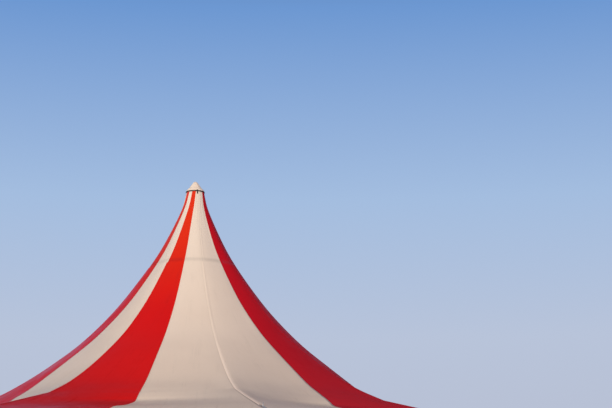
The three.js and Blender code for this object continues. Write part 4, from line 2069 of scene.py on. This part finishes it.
    def build(self) -> None:
        """Makes the walls."""
        over = [gore.node for gore in Roof(self.form).gores()]
        for face in range(1, RIDGES):
            self.build_wall(f"side_wall_{face}", face, 0, face % 2 == 0, over[2 * face:2 * face + 2])
        for side, word, gore in ((-1, "left", over[0]), (1, "right", over[1])):
            self.build_wall(f"entrance_wall_{word}", 0, side, True, [gore])
        for index in range(RIDGES):
            self.build_flap(index)
        self.build_pegs()


# Studio


@dataclass(frozen=True)
class Lamp:
    """A far lamp: its azimuth and height in degrees, colour, strength and apparent width in degrees."""

    name: str
    azimuth: float
    height: float
    colour: Colour
    energy: float
    width: float


@dataclass
class Studio:
    """Pale floor, soft light and the camera at the photograph's place."""

    eye: Size = (6.817, -31.117, 0.689)
    heading: float = 7.543
    tilt: float = 14.301
    roll: float = -0.236
    lens: float = 80.0
    sensor: float = 36.0
    sight: float = 500.0
    floor: float = 400.0
    lamps: tuple[Lamp, ...] = (
        Lamp("key", -5.0, 9.5, (1.0, 0.88, 0.7), 2.92, 12.0),
        Lamp("bounce", 40.0, 15.0, (1.0, 0.6, 0.6), 0.5, 90.0),
        Lamp("fill", -90.0, 15.0, (0.9, 1.0, 1.3), 0.5, 60.0),
    )
    sky: tuple[tuple[float, Colour], ...] = (
        (0.0, (0.48, 0.5, 0.6)), (0.15, (0.48, 0.55, 0.7)), (0.25, (0.37, 0.51, 0.74)),
        (0.385, (0.15, 0.31, 0.64)), (0.42, (0.14, 0.19, 0.34)), (0.5, (0.11, 0.12, 0.19)),
        (1.0, (0.105, 0.11, 0.165)),
    )

    def build_camera(self) -> None:
        """Sets the camera."""
        data = bpy.data.cameras.new("view")
        data.lens = self.lens
        data.sensor_width = self.sensor
        data.clip_end = self.sight
        camera = bpy.data.objects.new("view", data)
        bpy.context.scene.collection.objects.link(camera)
        turns = (turn_by(self.heading, "Z"), turn_by(90 + self.tilt, "X"), turn_by(self.roll, "Z"))
        camera.matrix_world = reduce(matmul, turns, move_by(*self.eye))
        bpy.context.scene.camera = camera

    def build_light(self) -> None:
        """Sets the warm key light, the reddish bounce, the cool fill and the surroundings."""
        for lamp in self.lamps:
            data = bpy.data.lights.new(lamp.name, "SUN")
            data.energy = lamp.energy
            data.color = lamp.colour
            data.angle = math.radians(lamp.width)
            light = bpy.data.objects.new(lamp.name, data)
            bpy.context.scene.collection.objects.link(light)
            height = math.radians(lamp.height)
            towards = polar(lamp.azimuth, math.cos(height), math.sin(height))
            light.rotation_euler = towards.to_track_quat("Z", "Y").to_euler()
        bpy.context.scene.world = self.build_world()
        bpy.context.scene.view_settings.view_transform = "Standard"

    def build_world(self) -> bpy.types.World:
        """Makes the surroundings, which darken from the horizon up.

        Returns:
            The surroundings.
        """
        world = bpy.data.worlds.new("studio")
        world.use_nodes = True
        nodes, links = world.node_tree.nodes, world.node_tree.links
        place = nodes.new("ShaderNodeTexCoord")
        axes = nodes.new("ShaderNodeSeparateXYZ")
        ramp = nodes.new("ShaderNodeValToRGB")
        stops = ramp.color_ramp.elements
        stops.remove(stops[1])
        stops[0].position = self.sky[0][0]
        stops[0].color = (*self.sky[0][1], 1.0)
        for height, colour in self.sky[1:]:
            stops.new(height).color = (*colour, 1.0)
        links.new(place.outputs["Generated"], axes.inputs["Vector"])
        links.new(axes.outputs["Z"], ramp.inputs["Fac"])
        links.new(ramp.outputs["Color"], nodes["Background"].inputs["Color"])
        return world

    def build_floor(self) -> None:
        """Lays the floor."""
        bm = bmesh.new()
        bmesh.ops.create_grid(bm, x_segments=8, y_segments=8, size=self.floor)
        floor = made("floor", bm)
        floor.data.materials.append(PaleFloor().material())

    def build(self) -> None:
        """Sets up the studio."""
        self.build_camera()
        self.build_light()
        self.build_floor()


def main() -> None:
    """Builds the tent piece by piece around its frame."""
    logging.basicConfig(level=logging.INFO, format="%(name)s: %(message)s")
    form = RoofForm()
    Studio().build()
    for assembly in (Roof(form), Crown(), KingPole(), SidePoles(form), Guys(form), Walls(form)):
        assembly.build()
    bpy.context.view_layer.update()


if __name__ == "__main__":
    main()
